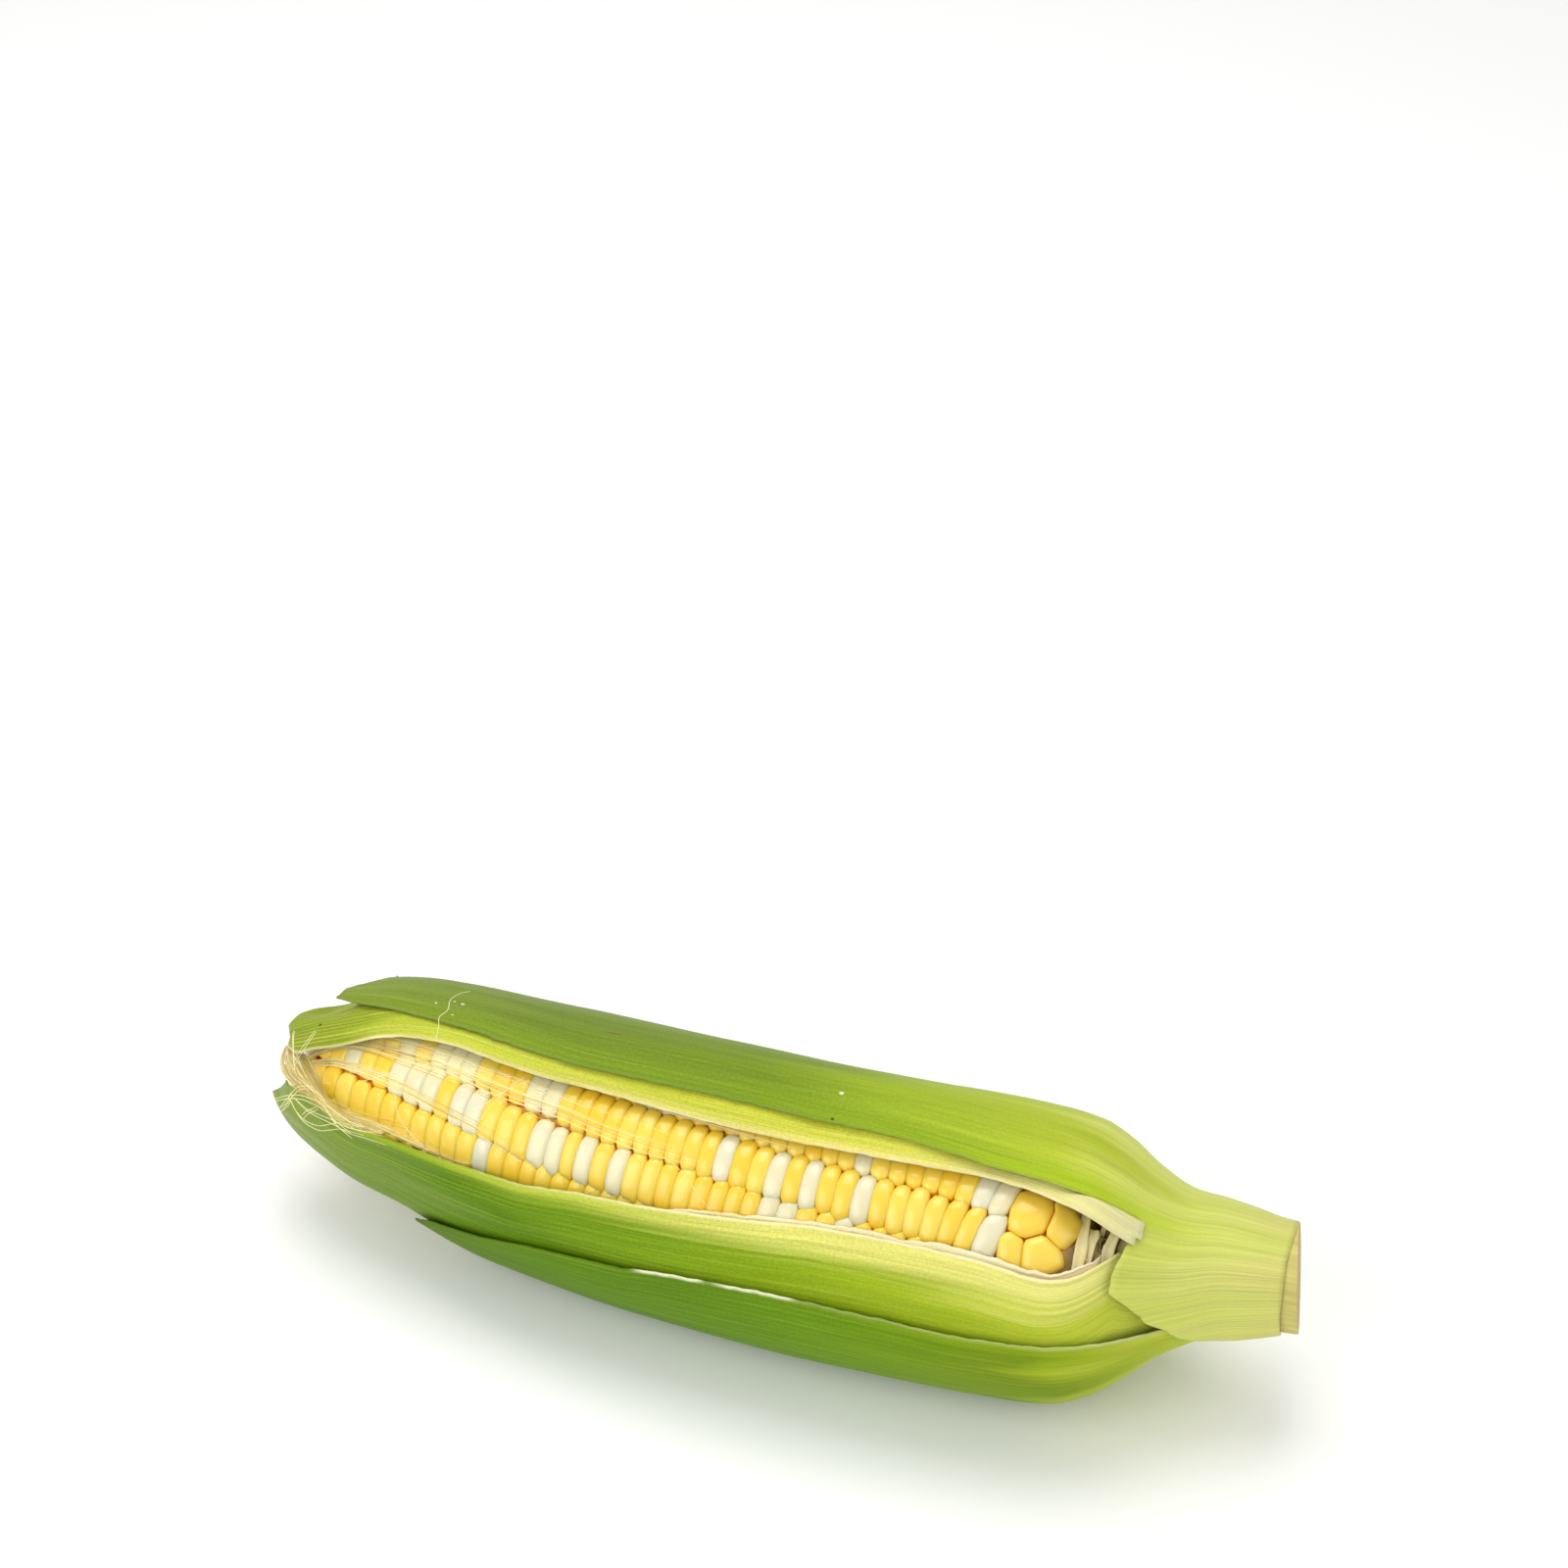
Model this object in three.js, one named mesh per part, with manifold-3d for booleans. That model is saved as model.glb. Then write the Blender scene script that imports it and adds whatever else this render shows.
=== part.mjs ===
// An ear of sweet corn lying on its side in its husk, with the husk opened along a window on
// its front. Millimetres and degrees. The ear runs along X, tip at -X and cut shank at +X,
// +Z is up, and the origin is the resting spot below the middle of the ear.
//
// A place on the ear is given by x, by an angle round the ear's axis (0 at the top, growing
// towards the front at -Y, 180 at the underside) and by a radius from that axis.
import * as THREE from 'three';
import { mergeVertices } from 'three/addons/utils/BufferGeometryUtils.js';
import Module from 'manifold-3d';

// Ear: the axis is a shallow bow in plan, and rises towards the shank.
const AXIS_HEIGHT = 30.9;
const BOW = 0.00058;
const RISE = [
  [-126, 0.6], [-97, 1.0], [-60, -0.1], [0, 0.3], [50, 1.2], [78, 1.4], [88, 2.2], [98, 3.8], [114, 4.4],
];

// Outer radius of the closed husk, and radius over the crowns of the kernels.
const SKIN = [
  [-126, 3], [-125, 8], [-121, 14.4], [-115, 18.6], [-109, 21.2], [-98, 24.6], [-80, 28], [-60, 30.4],
  [-35, 31.8], [0, 32.6], [40, 32.9], [58, 32.5], [67, 31.4], [74, 28.4], [81, 23.6], [88, 19.2],
  [96, 16.1], [105, 13.9], [110, 12.6], [114, 12],
];
const CROWN = [
  [-118, 3], [-115, 9.5], [-110, 14.2], [-103, 17.8], [-93, 20.5], [-78, 22.8], [-58, 24.5],
  [-35, 25.3], [0, 25.6], [50, 25.4], [62, 24.9], [67, 22.8], [69.4, 19], [70.5, 14],
];

// Kernels: rows round the cob, their spiral, and the pitch along a row.
const KERNEL_ROWS = 16;
const FIRST_ROW_ANGLE = 28.5;
const ROW_TWIST = 0.19;
const KERNELS_PER_ROW = 42;
const COB_TIP = -118;
const COB_BUTT = 70.5;
const GROOVE_BETWEEN_ROWS = 2.1;
const GROOVE_BETWEEN_KERNELS = 1.5;
const KERNEL_FLANK_ANGLE = 5.2;

// Shank: radius along the stem, which ends in a flat cut that leans back a little.
const CUT_LEAN = [[88, 0], [108, 0.12]];
const CUT_LEAN_ANGLE = -38;
const SHANK = [[71, 8.6], [80, 8], [96, 8.4], [104, 9.6], [109, 10.8], [113.6, 11]];
const SHANK_SIDES = 24;

// Husk: thickness of a blade and distance between one layer's outer face and the next one's.
const BLADE = 0.8;
const LAYER = 1.6;
const BASE_SINK = 2.3;
const FLAT_ROOM = 0.4;
const MEMBRANE = 0.65;
const HUSK_LINES = [
  -122, -118, -114, -109, -103, -96, -88, -79, -69, -58, -46, -33, -20, -7, 6, 19, 32, 44, 54, 62,
  68, 73, 77, 81, 85, 89, 94, 99, 104,
];

// Silk and dried fibres.
const SILK_RADIUS = 0.42;
const FIBRE_RADIUS = 0.55;

// ---------------------------------------------------------------------------- curves

// A smooth curve through [x, value] points that never overshoots them.
function through(points) {
  const last = points.length - 1;
  const slopes = points.slice(1).map((p, i) => (p[1] - points[i][1]) / (p[0] - points[i][0]));
  const tangents = points.map((p, i) => {
    if (i === 0) return slopes[0];
    if (i === last) return slopes[last - 1];
    const product = slopes[i - 1] * slopes[i];
    return product <= 0 ? 0 : (2 * product) / (slopes[i - 1] + slopes[i]);
  });
  return (x) => {
    if (x <= points[0][0]) return points[0][1];
    if (x >= points[last][0]) return points[last][1];
    let i = 0;
    while (x > points[i + 1][0]) i += 1;
    const width = points[i + 1][0] - points[i][0];
    const t = (x - points[i][0]) / width;
    const rest = 1 - t;
    return (
      points[i][1] * rest * rest * (1 + 2 * t) + points[i + 1][1] * t * t * (3 - 2 * t) +
      width * t * rest * (tangents[i] * rest - tangents[i + 1] * t)
    );
  };
}

// A straight-sided line through [x, value] points.
function along(points) {
  const last = points.length - 1;
  return (x) => {
    if (x <= points[0][0]) return points[0][1];
    if (x >= points[last][0]) return points[last][1];
    let i = 0;
    while (x > points[i + 1][0]) i += 1;
    const t = (x - points[i][0]) / (points[i + 1][0] - points[i][0]);
    return THREE.MathUtils.lerp(points[i][1], points[i + 1][1], t);
  };
}

const rise = through(RISE);
const skin = through(SKIN);
const crown = through(CROWN);
const shankRadius = through(SHANK);
const cutLean = along(CUT_LEAN);

// A repeatable draw between -1 and 1 for each pair of whole numbers.
function draw(a, b) {
  const s = Math.sin(a * 127.1 + b * 311.7 + 17.3) * 43758.5453;
  return 2 * (s - Math.floor(s)) - 1;
}

// ---------------------------------------------------------------------------- places on the ear

function earPoint(x, degrees, radius) {
  const angle = THREE.MathUtils.degToRad(degrees);
  const slope = 2 * BOW * x;
  const length = Math.hypot(1, slope);
  const sideways = radius * Math.sin(angle);
  const lean = cutLean(x) * radius * Math.cos(angle - THREE.MathUtils.degToRad(CUT_LEAN_ANGLE));
  return new THREE.Vector3(
    x + (sideways * slope) / length - lean,
    BOW * x * x + rise(x) - sideways / length,
    AXIS_HEIGHT + rise(x) + radius * Math.cos(angle),
  );
}

// A point at a depth below the husk's outer surface, measured square to that surface. The
// underside is flat: no layer reaches lower than its own depth above the table.
function huskPoint(x, degrees, depth) {
  const slope = (skin(x + 0.2) - skin(x - 0.2)) / 0.4;
  const length = Math.hypot(1, slope);
  const point = earPoint(x + (depth * slope) / length, degrees, skin(x) - depth / length);
  point.z = Math.max(point.z, depth);
  return point;
}

// ---------------------------------------------------------------------------- solids

// A closed geometry from rings of points; each end is closed by a fan round its middle.
function ringSolid(rings) {
  const sides = rings[0].length;
  const middle = (ring) => ring.reduce((sum, p) => sum.add(p), new THREE.Vector3()).divideScalar(sides);
  const points = rings.flat();
  const first = points.length;
  points.push(middle(rings[0]), middle(rings[rings.length - 1]));
  const faces = [];
  for (let i = 0; i < rings.length - 1; i += 1) {
    for (let j = 0; j < sides; j += 1) {
      const k = (j + 1) % sides;
      const a = i * sides + j;
      const b = i * sides + k;
      faces.push(a, b, b + sides, a, b + sides, a + sides);
    }
  }
  const end = (rings.length - 1) * sides;
  for (let j = 0; j < sides; j += 1) {
    const k = (j + 1) % sides;
    faces.push(k, j, first, end + j, end + k, first + 1);
  }
  return geometryOf(points, faces);
}

// A closed blade between an outer and an inner grid of points, split alike on both faces.
function bladeSolid(outer, inner) {
  const rows = outer.length;
  const columns = outer[0].length;
  const points = [...outer.flat(), ...inner.flat()];
  const below = rows * columns;
  const faces = [];
  for (let i = 0; i < rows - 1; i += 1) {
    for (let j = 0; j < columns - 1; j += 1) {
      const a = i * columns + j;
      const b = a + 1;
      const c = a + columns;
      const d = c + 1;
      faces.push(a, b, d, a, d, c);
      faces.push(below + a, below + d, below + b, below + a, below + c, below + d);
    }
  }
  const wall = (a, b) => faces.push(a, below + a, below + b, a, below + b, b);
  for (let j = 0; j < columns - 1; j += 1) {
    wall(j, j + 1);
    wall((rows - 1) * columns + j + 1, (rows - 1) * columns + j);
  }
  for (let i = 0; i < rows - 1; i += 1) {
    wall((i + 1) * columns, i * columns);
    wall(i * columns + columns - 1, (i + 1) * columns + columns - 1);
  }
  return geometryOf(points, faces);
}

function geometryOf(points, faces) {
  const geometry = new THREE.BufferGeometry();
  geometry.setAttribute('position', new THREE.Float32BufferAttribute(points.flatMap((p) => p.toArray()), 3));
  geometry.setIndex(faces);
  return geometry;
}

// A thin thread through points, tapering to both ends.
function threadSolid(points, radius, steps, sides = 3) {
  const path = new THREE.CatmullRomCurve3(points, false, 'centripetal');
  const rings = [];
  for (let i = 0; i <= steps; i += 1) {
    const t = i / steps;
    const middle = path.getPoint(t);
    const forward = path.getTangent(t);
    const across = new THREE.Vector3(0.2, 0.3, 1).cross(forward).normalize();
    const up = forward.clone().cross(across);
    const size = radius * (0.45 + 0.55 * Math.sin(Math.PI * Math.min(1, Math.max(0, t)) ** 0.6));
    rings.push(Array.from({ length: sides }, (_, k) => {
      const angle = (2 * Math.PI * k) / sides;
      return middle.clone()
        .addScaledVector(across, size * Math.cos(angle))
        .addScaledVector(up, size * Math.sin(angle));
    }));
  }
  return ringSolid(rings);
}

const wasm = await Module();
wasm.setup();

function solidOf(geometry) {
  const merged = mergeVertices(geometry, 1e-4);
  return new wasm.Manifold(new wasm.Mesh({
    numProp: 3,
    vertProperties: Float32Array.from(merged.attributes.position.array),
    triVerts: Uint32Array.from(merged.index.array),
  }));
}

function fused(geometries) {
  const whole = geometries.map(solidOf).reduce((sum, solid) => sum.add(solid));
  const mesh = whole.getMesh();
  const geometry = new THREE.BufferGeometry();
  geometry.setAttribute('position', new THREE.Float32BufferAttribute(mesh.vertProperties, 3));
  geometry.setIndex(Array.from(mesh.triVerts));
  return geometry;
}

// ---------------------------------------------------------------------------- kernelled cob

// Every kernel is raised from the cob's surface: along a row the rings alternate between a
// crown and the groove before the next kernel, and neighbouring rows are half a kernel apart.
function kernelledCob() {
  const rings = [];
  const ringCount = 2 * KERNELS_PER_ROW;
  const rowStep = 360 / KERNEL_ROWS;
  for (let i = 0; i <= ringCount; i += 1) {
    const t = i / ringCount;
    const x = THREE.MathUtils.lerp(COB_TIP, COB_BUTT, t ** 0.94);
    const end = Math.min(1, 14 * Math.min(t, 1 - t));
    const ring = [];
    for (let row = 0; row < KERNEL_ROWS; row += 1) {
      const onCrown = (i + row) % 2 === 1;
      const centre = FIRST_ROW_ANGLE + row * rowStep + ROW_TWIST * x;
      const shift = 0.25 * end * draw(row, Math.floor((i + row) / 2));
      const grooved = crown(x) - (onCrown ? 0 : GROOVE_BETWEEN_KERNELS * end);
      ring.push(earPoint(x, centre - rowStep / 2, crown(x) - GROOVE_BETWEEN_ROWS * end));
      ring.push(earPoint(x + shift, centre - KERNEL_FLANK_ANGLE, grooved));
      ring.push(earPoint(x + shift, centre + KERNEL_FLANK_ANGLE, grooved));
    }
    rings.push(ring);
  }
  return ringSolid(rings);
}

// ---------------------------------------------------------------------------- shank

function shank() {
  const stations = [71, 78, 84, 90, 96, 101, 106, 110, 113.6];
  return ringSolid(stations.map((x) => (
    Array.from({ length: SHANK_SIDES }, (_, k) => earPoint(x, (360 * k) / SHANK_SIDES, shankRadius(x)))
  )));
}

// ---------------------------------------------------------------------------- husk leaves

// A leaf is a blade between two edges, each given as the angle at stations along x. Its outer
// face lies at `depth` below the husk's surface. Towards a free edge it can lean in over the
// kernels: `leanFrom` / `leanTo` give the share of the room above the kernels that it takes up
// at either edge, and `room` is what it leaves free. `tear` moves the ends of single columns.
function leaf({ from, to, depth, columns, thickness = BLADE, leanFrom = () => 0, leanTo = () => 0,
  leanWidth = 16, room = () => 1.3, tear = [0], baseTear = [0], moreLines = [], wave = 0.5, seed = 0 }) {
  const low = along(from);
  const high = along(to);
  const tip = from[0][0];
  const base = from[from.length - 1][0];
  const between = HUSK_LINES.filter((x) => moreLines.every((line) => Math.abs(line - x) > 0.7));
  const lines = [tip, ...[...between, ...moreLines].filter((x) => x > tip + 1 && x < base - 1), base];
  lines.sort((a, b) => a - b);
  const outer = [];
  const inner = [];
  lines.forEach((line, i) => {
    const outerRow = [];
    const innerRow = [];
    for (let j = 0; j <= columns; j += 1) {
      const across = j / columns;
      const ripple = wave * draw(seed + i, 3) * (across - 0.5);
      const degrees = THREE.MathUtils.lerp(low(line), high(line), across) + ripple;
      const tipTear = i === 0 ? tear[j % tear.length] : 0;
      const endTear = i === lines.length - 1 ? baseTear[j % baseTear.length] : 0;
      const x = line + tipTear + endTear;
      const fromEdge = Math.max(0, 1 - (degrees - low(line)) / leanWidth);
      const toEdge = Math.max(0, 1 - (high(line) - degrees) / leanWidth);
      const lean = leanFrom(x) * fromEdge * (2 - fromEdge) + leanTo(x) * toEdge * (2 - toEdge);
      const highest = Math.max(crown(x - 5), crown(x), crown(x + 5));
      const free = Math.max(0, skin(x) - highest - depth(x) - thickness - room(x));
      const below = depth(x) + lean * free;
      outerRow.push(huskPoint(x, degrees, below));
      innerRow.push(huskPoint(x, degrees, below + thickness));
    }
    outer.push(outerRow);
    inner.push(innerRow);
  });
  return bladeSolid(outer, inner);
}

// Each layer sinks deeper towards its base, where the outermost leaf's sheath wraps over it.
const sinking = (depth, before = []) => (
  through([...before, [-80, depth], [72, depth], [92, depth + BASE_SINK], [114, depth + BASE_SINK]])
);

const LEAVES = {
  // the big leaf on top; behind the window its base wraps the shank as a torn sheath
  outer_back_leaf: {
    from: [[-112, -50], [-109, -80], [-104, -104], [-96, -118], [-80, -128], [60, -132], [88, -140],
      [109.8, -156]],
    to: [[-112, -5], [-103, 1], [-62, 4], [0, 5.5], [48, 7], [62, 7], [74, 10], [77.5, 12], [80.5, 52],
      [82.5, 62], [85, 71], [89, 79], [92, 92], [96, 106], [102, 126], [109.8, 146]],
    depth: () => 0, columns: 12, tear: [3.6, 2.2, 3, 1, 0, 0.4, -0.6, 0.6], wave: 1.2, seed: 11,
    moreLines: [-110.5, -107, 77.5, 78.3, 79, 79.8, 80.5, 82.5, 87, 91.5, 96, 101],
    color: 0x9bbf3c,
  },
  // the outer leaf in front, with its pointed torn end; the ear rests on it
  outer_front_leaf: {
    from: [[-79, 113], [-71, 111], [-57, 100], [-43, 91], [-25, 88], [-5, 83], [30, 78], [68, 77.6], [80, 78],
      [90, 79], [105, 82]],
    to: [[-79, 117], [-70, 150], [-55, 185], [-30, 210], [0, 214], [60, 216], [90, 222], [105, 230]],
    depth: through([[76, 0], [91, 2], [105, 1.8]]), columns: 11, wave: 0.8, seed: 23,
    moreLines: [-76.5, -74, -71, -66, -62],
    color: 0x6f9a2a,
  },
  // the leaf behind the window, its free edge leaning in over the kernels
  inner_back_leaf: {
    from: [[-123.4, -38], [-117, -80], [-100, -93], [97, -95]],
    to: [[-123.4, 20], [-116.5, 45], [-113, 36], [-109, 28], [-100, 18.5], [-91, 12], [-76, 8], [-55, 10.4],
      [0, 11], [34, 11.8], [47, 10], [55, 10.8], [62, 13], [70, 18], [77, 23], [79, 20], [80.2, -4],
      [97, -12]],
    depth: sinking(LAYER, [[-122, 1], [-116, 1.7]]), columns: 10, leanWidth: 14,
    leanTo: through([[-60, 0.85], [48, 0.85], [64, 0.4], [72, 0], [79, -0.12]]),
    room: () => 2.1, tear: [1.6, 0, 0.8, -0.4], wave: 0.6, seed: 37, moreLines: [79, 79.6, 80.2],
    color: 0xc3c95a,
  },
  // the leaf below the window
  inner_front_leaf: {
    from: [[-125.4, 88], [-120, 70], [-113, 86], [-104, 80], [-92, 74], [-73, 68.5], [-52, 66], [-26, 60],
      [2, 53.6], [26, 50], [57, 50.6], [66, 50], [70, 45], [74, 36], [78, 30], [81, 40], [97, 50]],
    to: [[-125.4, 116], [-120, 140], [-113, 150], [97, 158]],
    depth: sinking(LAYER, [[-125, 0], [-98, 0.2], [-82, LAYER]]), columns: 9, leanWidth: 20,
    leanFrom: through([[48, 0.9], [60, 0.5], [68, 0.1], [74, 0]]),
    room: along([[-60, 2.1], [-20, 3.1], [97, 3.1]]), tear: [0.8, 0, 0.6, 0, 1], wave: 0.6, seed: 41,
    color: 0x86b030,
  },
  // the pale innermost leaf, which lines the lower side of the window
  membrane_leaf: {
    from: [[-30, 66], [-14, 57], [2, 52.5], [26, 48.5], [50, 48], [58, 47], [63, 45]],
    to: [[-30, 74], [-14, 100], [2, 112], [26, 118], [50, 118], [58, 116], [63, 113]],
    depth: (x) => skin(x) - crown(x) - MEMBRANE - 1.3, columns: 6, thickness: MEMBRANE,
    tear: [1.2, 0, 0.6], baseTear: [0, 1.4, -0.8], wave: 2.4, seed: 53,
    color: 0xe6d9a4,
  },
  // the hidden leaves that close the husk behind and below
  rear_leaf: {
    from: [[-121, 200], [-112, 190], [-90, 186], [97, 184]],
    to: [[-121, 232], [-112, 250], [-90, 259], [97, 260]],
    depth: sinking(LAYER + FLAT_ROOM), columns: 6, tear: [1.5, 0.4, 0, 0.9], wave: 0.6, seed: 61,
    color: 0x86a83a,
  },
  lower_leaf: {
    from: [[-110, 150], [-100, 138], [-80, 134], [97, 134]],
    to: [[-110, 240], [-100, 262], [-80, 270], [97, 272]],
    depth: sinking(2 * LAYER + FLAT_ROOM), columns: 10, tear: [1.5, 0, 0.7, 2], wave: 0.6, seed: 71,
    color: 0xb9c46a,
  },
};

// ---------------------------------------------------------------------------- silk and fibres

// Silk strands leave one knot at the cob's tip and lie over the furrows between the rows.
function tipSilk() {
  const knot = earPoint(-120.4, 50, 5);
  const strands = [];
  const runs = [
    [-44, 20], [-16, 29], [-86, 33], [-52, 40], [-36, 59], [-72, 66],
  ];
  runs.forEach(([endX, endAngle], n) => {
    const points = [knot];
    const count = 7;
    for (let k = 1; k <= count; k += 1) {
      const t = k / count;
      const x = THREE.MathUtils.lerp(-115, endX, (t - 1 / count) * (1 + 1 / (count - 1)));
      const degrees = THREE.MathUtils.lerp(62, endAngle, Math.min(1, 2.2 * t)) + 2 * draw(n, k);
      points.push(earPoint(x, degrees, crown(x) + 1.25 + 4.5 * Math.max(0, 0.4 - t)));
    }
    strands.push(threadSolid(points, SILK_RADIUS, 13));
  });
  const loops = [[-121.2, 74, 10], [-119.2, 90, 10], [-122.6, 42, 7.2]];
  loops.forEach(([x, degrees, radius], n) => {
    const end = earPoint(x, degrees, radius);
    const bend = earPoint(x - 0.6, degrees - 10 + 8 * n, radius * 0.72);
    strands.push(threadSolid([knot, bend, end], SILK_RADIUS, 8));
  });
  const ball = new THREE.IcosahedronGeometry(1.2);
  ball.deleteAttribute('normal');
  ball.deleteAttribute('uv');
  ball.translate(knot.x, knot.y, knot.z);
  return fused([mergeVertices(ball, 1e-4), ...strands]);
}

// Dried fibres curl out of a torn collar round the shank, between the kernels and the sheath.
function driedFibres() {
  const collar = [];
  for (let i = 0; i <= 10; i += 1) {
    const degrees = -6 + 8 * i;
    collar.push([
      earPoint(76.4, degrees, 9), earPoint(76.4, degrees, 10.2),
      earPoint(78.6, degrees, 10.2), earPoint(78.6, degrees, 9),
    ]);
  }
  const pieces = [ringSolid(collar.map((ring) => ring.slice().reverse()))];
  for (let n = 0; n < 7; n += 1) {
    const degrees = 2 + 10 * n;
    const lean = 5 * draw(n, 5);
    const reach = 15 + 2.4 * draw(n, 8);
    pieces.push(threadSolid([
      earPoint(77.5, degrees, 9.6),
      earPoint(76, degrees + lean, 13),
      earPoint(74.8 + draw(n, 2), degrees + lean, reach),
      earPoint(76.6, degrees + 2 * lean, reach + 1.4),
    ], FIBRE_RADIUS, 5));
  }
  return fused(pieces);
}

// ---------------------------------------------------------------------------- the ear

const group = new THREE.Group();

function addNode(name, geometry, color, roughness) {
  const material = new THREE.MeshStandardMaterial({ color, roughness, metalness: 0 });
  const mesh = new THREE.Mesh(geometry, material);
  mesh.name = name;
  group.add(mesh);
}

addNode('kernelled_cob', kernelledCob(), 0xf4c23a, 0.3);
addNode('shank', shank(), 0xcbb98a, 0.7);
for (const [name, shape] of Object.entries(LEAVES)) addNode(name, leaf(shape), shape.color, 0.55);
addNode('tip_silk', tipSilk(), 0xe8d590, 0.6);
addNode('dried_fibres', driedFibres(), 0xd9c89a, 0.8);

export default group;
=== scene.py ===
# An ear of sweet corn lying in its opened husk: kernels, leaves, silk and stage, laid out in the
# part's own frame. The ear runs along X with its tip at -X. A place on it is given in
# millimetres along X, in degrees round its axis (0 on top, growing towards the front at -Y)
# and by a radius from that axis.
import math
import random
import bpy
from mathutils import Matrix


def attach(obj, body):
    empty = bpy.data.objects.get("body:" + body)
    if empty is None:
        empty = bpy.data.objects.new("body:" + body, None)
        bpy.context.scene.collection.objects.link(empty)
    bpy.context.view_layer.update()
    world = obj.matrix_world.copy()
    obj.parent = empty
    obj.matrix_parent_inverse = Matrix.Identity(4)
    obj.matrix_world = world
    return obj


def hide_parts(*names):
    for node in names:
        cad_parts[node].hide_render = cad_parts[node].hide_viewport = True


bl_info = {
    "name": "Corn Cob",
    "version": (1, 0, 0),
    "blender": (4, 5, 0),
    "location": "View3D > Sidebar > Corn Cob",
    "description": "Kernels, husk leaves, silk and stage for an ear of sweet corn",
    "category": "Object",
}

import bmesh
import bpy
from mathutils import Matrix, Vector, noise

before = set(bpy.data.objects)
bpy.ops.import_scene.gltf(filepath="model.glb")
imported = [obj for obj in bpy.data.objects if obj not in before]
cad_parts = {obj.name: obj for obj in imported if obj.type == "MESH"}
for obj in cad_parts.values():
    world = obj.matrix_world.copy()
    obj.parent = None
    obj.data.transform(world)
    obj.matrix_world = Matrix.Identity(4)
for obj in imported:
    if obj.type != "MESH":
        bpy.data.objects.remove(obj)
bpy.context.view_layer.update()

MM = 0.001
SEED = 7

# The ear's axis: a shallow bow in plan, which rises towards the shank.
AXIS_HEIGHT = 30.9
BOW = 0.00058
RISE = [
    (-126, 0.6), (-97, 1.0), (-60, -0.1), (0, 0.3), (50, 1.2), (78, 1.4), (88, 2.2), (98, 3.8), (114, 4.4),
]

# Radius of the closed husk's outside, radius over the kernels' crowns, and the shank's radius.
SKIN = [
    (-126, 3), (-125, 8), (-121, 14.4), (-115, 18.6), (-109, 21.2), (-98, 24.6), (-80, 28), (-60, 30.4),
    (-35, 31.8), (0, 32.6), (40, 32.9), (58, 32.5), (67, 31.4), (74, 28.4), (81, 23.6), (88, 19.2),
    (96, 16.1), (105, 13.9), (110, 12.6), (114, 12),
]
CROWN = [
    (-118, 3), (-115, 9.5), (-110, 14.2), (-103, 17.8), (-93, 20.5), (-78, 22.8), (-58, 24.5),
    (-35, 25.3), (0, 25.6), (50, 25.4), (62, 24.9), (67, 22.8), (69.4, 19), (70.5, 14),
]
SHANK = [(71, 8.6), (80, 8), (96, 8.4), (104, 9.6), (109, 10.8), (113.6, 11)]

# The stem was cut at a slant: X shifts by this share of the radius, most on the side at this angle.
CUT_LEAN = [(88, 0), (108, 0.12)]
CUT_LEAN_ANGLE = math.radians(-38)

# The stretch of the ear that the leaves' colours are spread over.
HUSK_TIP = -126.0
HUSK_BASE = 114.0

# Depth from one layer of leaves to the next, and how much deeper a leaf's base lies round the shank.
LAYER = 1.6
BASE_SINK = 2.3


# --------------------------------------------------------------------------- curves and places


def smooth_curve(points):
    """A smooth function through (x, value) points that never overshoots them."""
    xs = [p[0] for p in points]
    ys = [p[1] for p in points]
    slopes = [(ys[i + 1] - ys[i]) / (xs[i + 1] - xs[i]) for i in range(len(xs) - 1)]
    tangents = [slopes[0]]
    for before, after in zip(slopes, slopes[1:]):
        product = before * after
        tangents.append(0 if product <= 0 else 2 * product / (before + after))
    tangents.append(slopes[-1])

    def value(x):
        if x <= xs[0]:
            return ys[0]
        if x >= xs[-1]:
            return ys[-1]
        i = next(k for k in range(len(xs) - 1) if x <= xs[k + 1])
        width = xs[i + 1] - xs[i]
        t = (x - xs[i]) / width
        rest = 1 - t
        hermite = ys[i] * rest * rest * (1 + 2 * t) + ys[i + 1] * t * t * (3 - 2 * t)
        return hermite + width * t * rest * (tangents[i] * rest - tangents[i + 1] * t)

    return value


def straight_curve(points):
    """A straight-sided function through (x, value) points."""

    def value(x):
        if x <= points[0][0]:
            return points[0][1]
        for (x0, y0), (x1, y1) in zip(points, points[1:]):
            if x <= x1:
                return y0 + (y1 - y0) * (x - x0) / (x1 - x0)
        return points[-1][1]

    return value


def soft_line(places):
    """A smooth line through places: a function from a place's number to the place there."""
    curves = [smooth_curve(list(enumerate(values))) for values in zip(*places)]
    return lambda number: [curve(number) for curve in curves]


rise = smooth_curve(RISE)
skin = smooth_curve(SKIN)
crown = smooth_curve(CROWN)
shank_radius = smooth_curve(SHANK)
cut_lean = straight_curve(CUT_LEAN)


def mix(a, b, t):
    """The value at share t of the way from a to b."""
    return a + (b - a) * t


def ease(t):
    """Rises smoothly from 0 to 1 as t does, and stays level outside."""
    t = min(1.0, max(0.0, t))
    return t * t * (3 - 2 * t)


def ripple(x, y, z=0.0):
    """Smooth noise between about -1 and 1."""
    return noise.noise(Vector((x, y, z)))


def ear_point(x, degrees, radius):
    """The place at x, angle and radius from the ear's axis, in metres."""
    angle = math.radians(degrees)
    slope = 2 * BOW * x
    length = math.hypot(1, slope)
    sideways = radius * math.sin(angle)
    lean = cut_lean(x) * radius * math.cos(angle - CUT_LEAN_ANGLE)
    return Vector((
        x + sideways * slope / length - lean,
        BOW * x * x + rise(x) - sideways / length,
        AXIS_HEIGHT + rise(x) + radius * math.cos(angle),
    )) * MM


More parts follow.
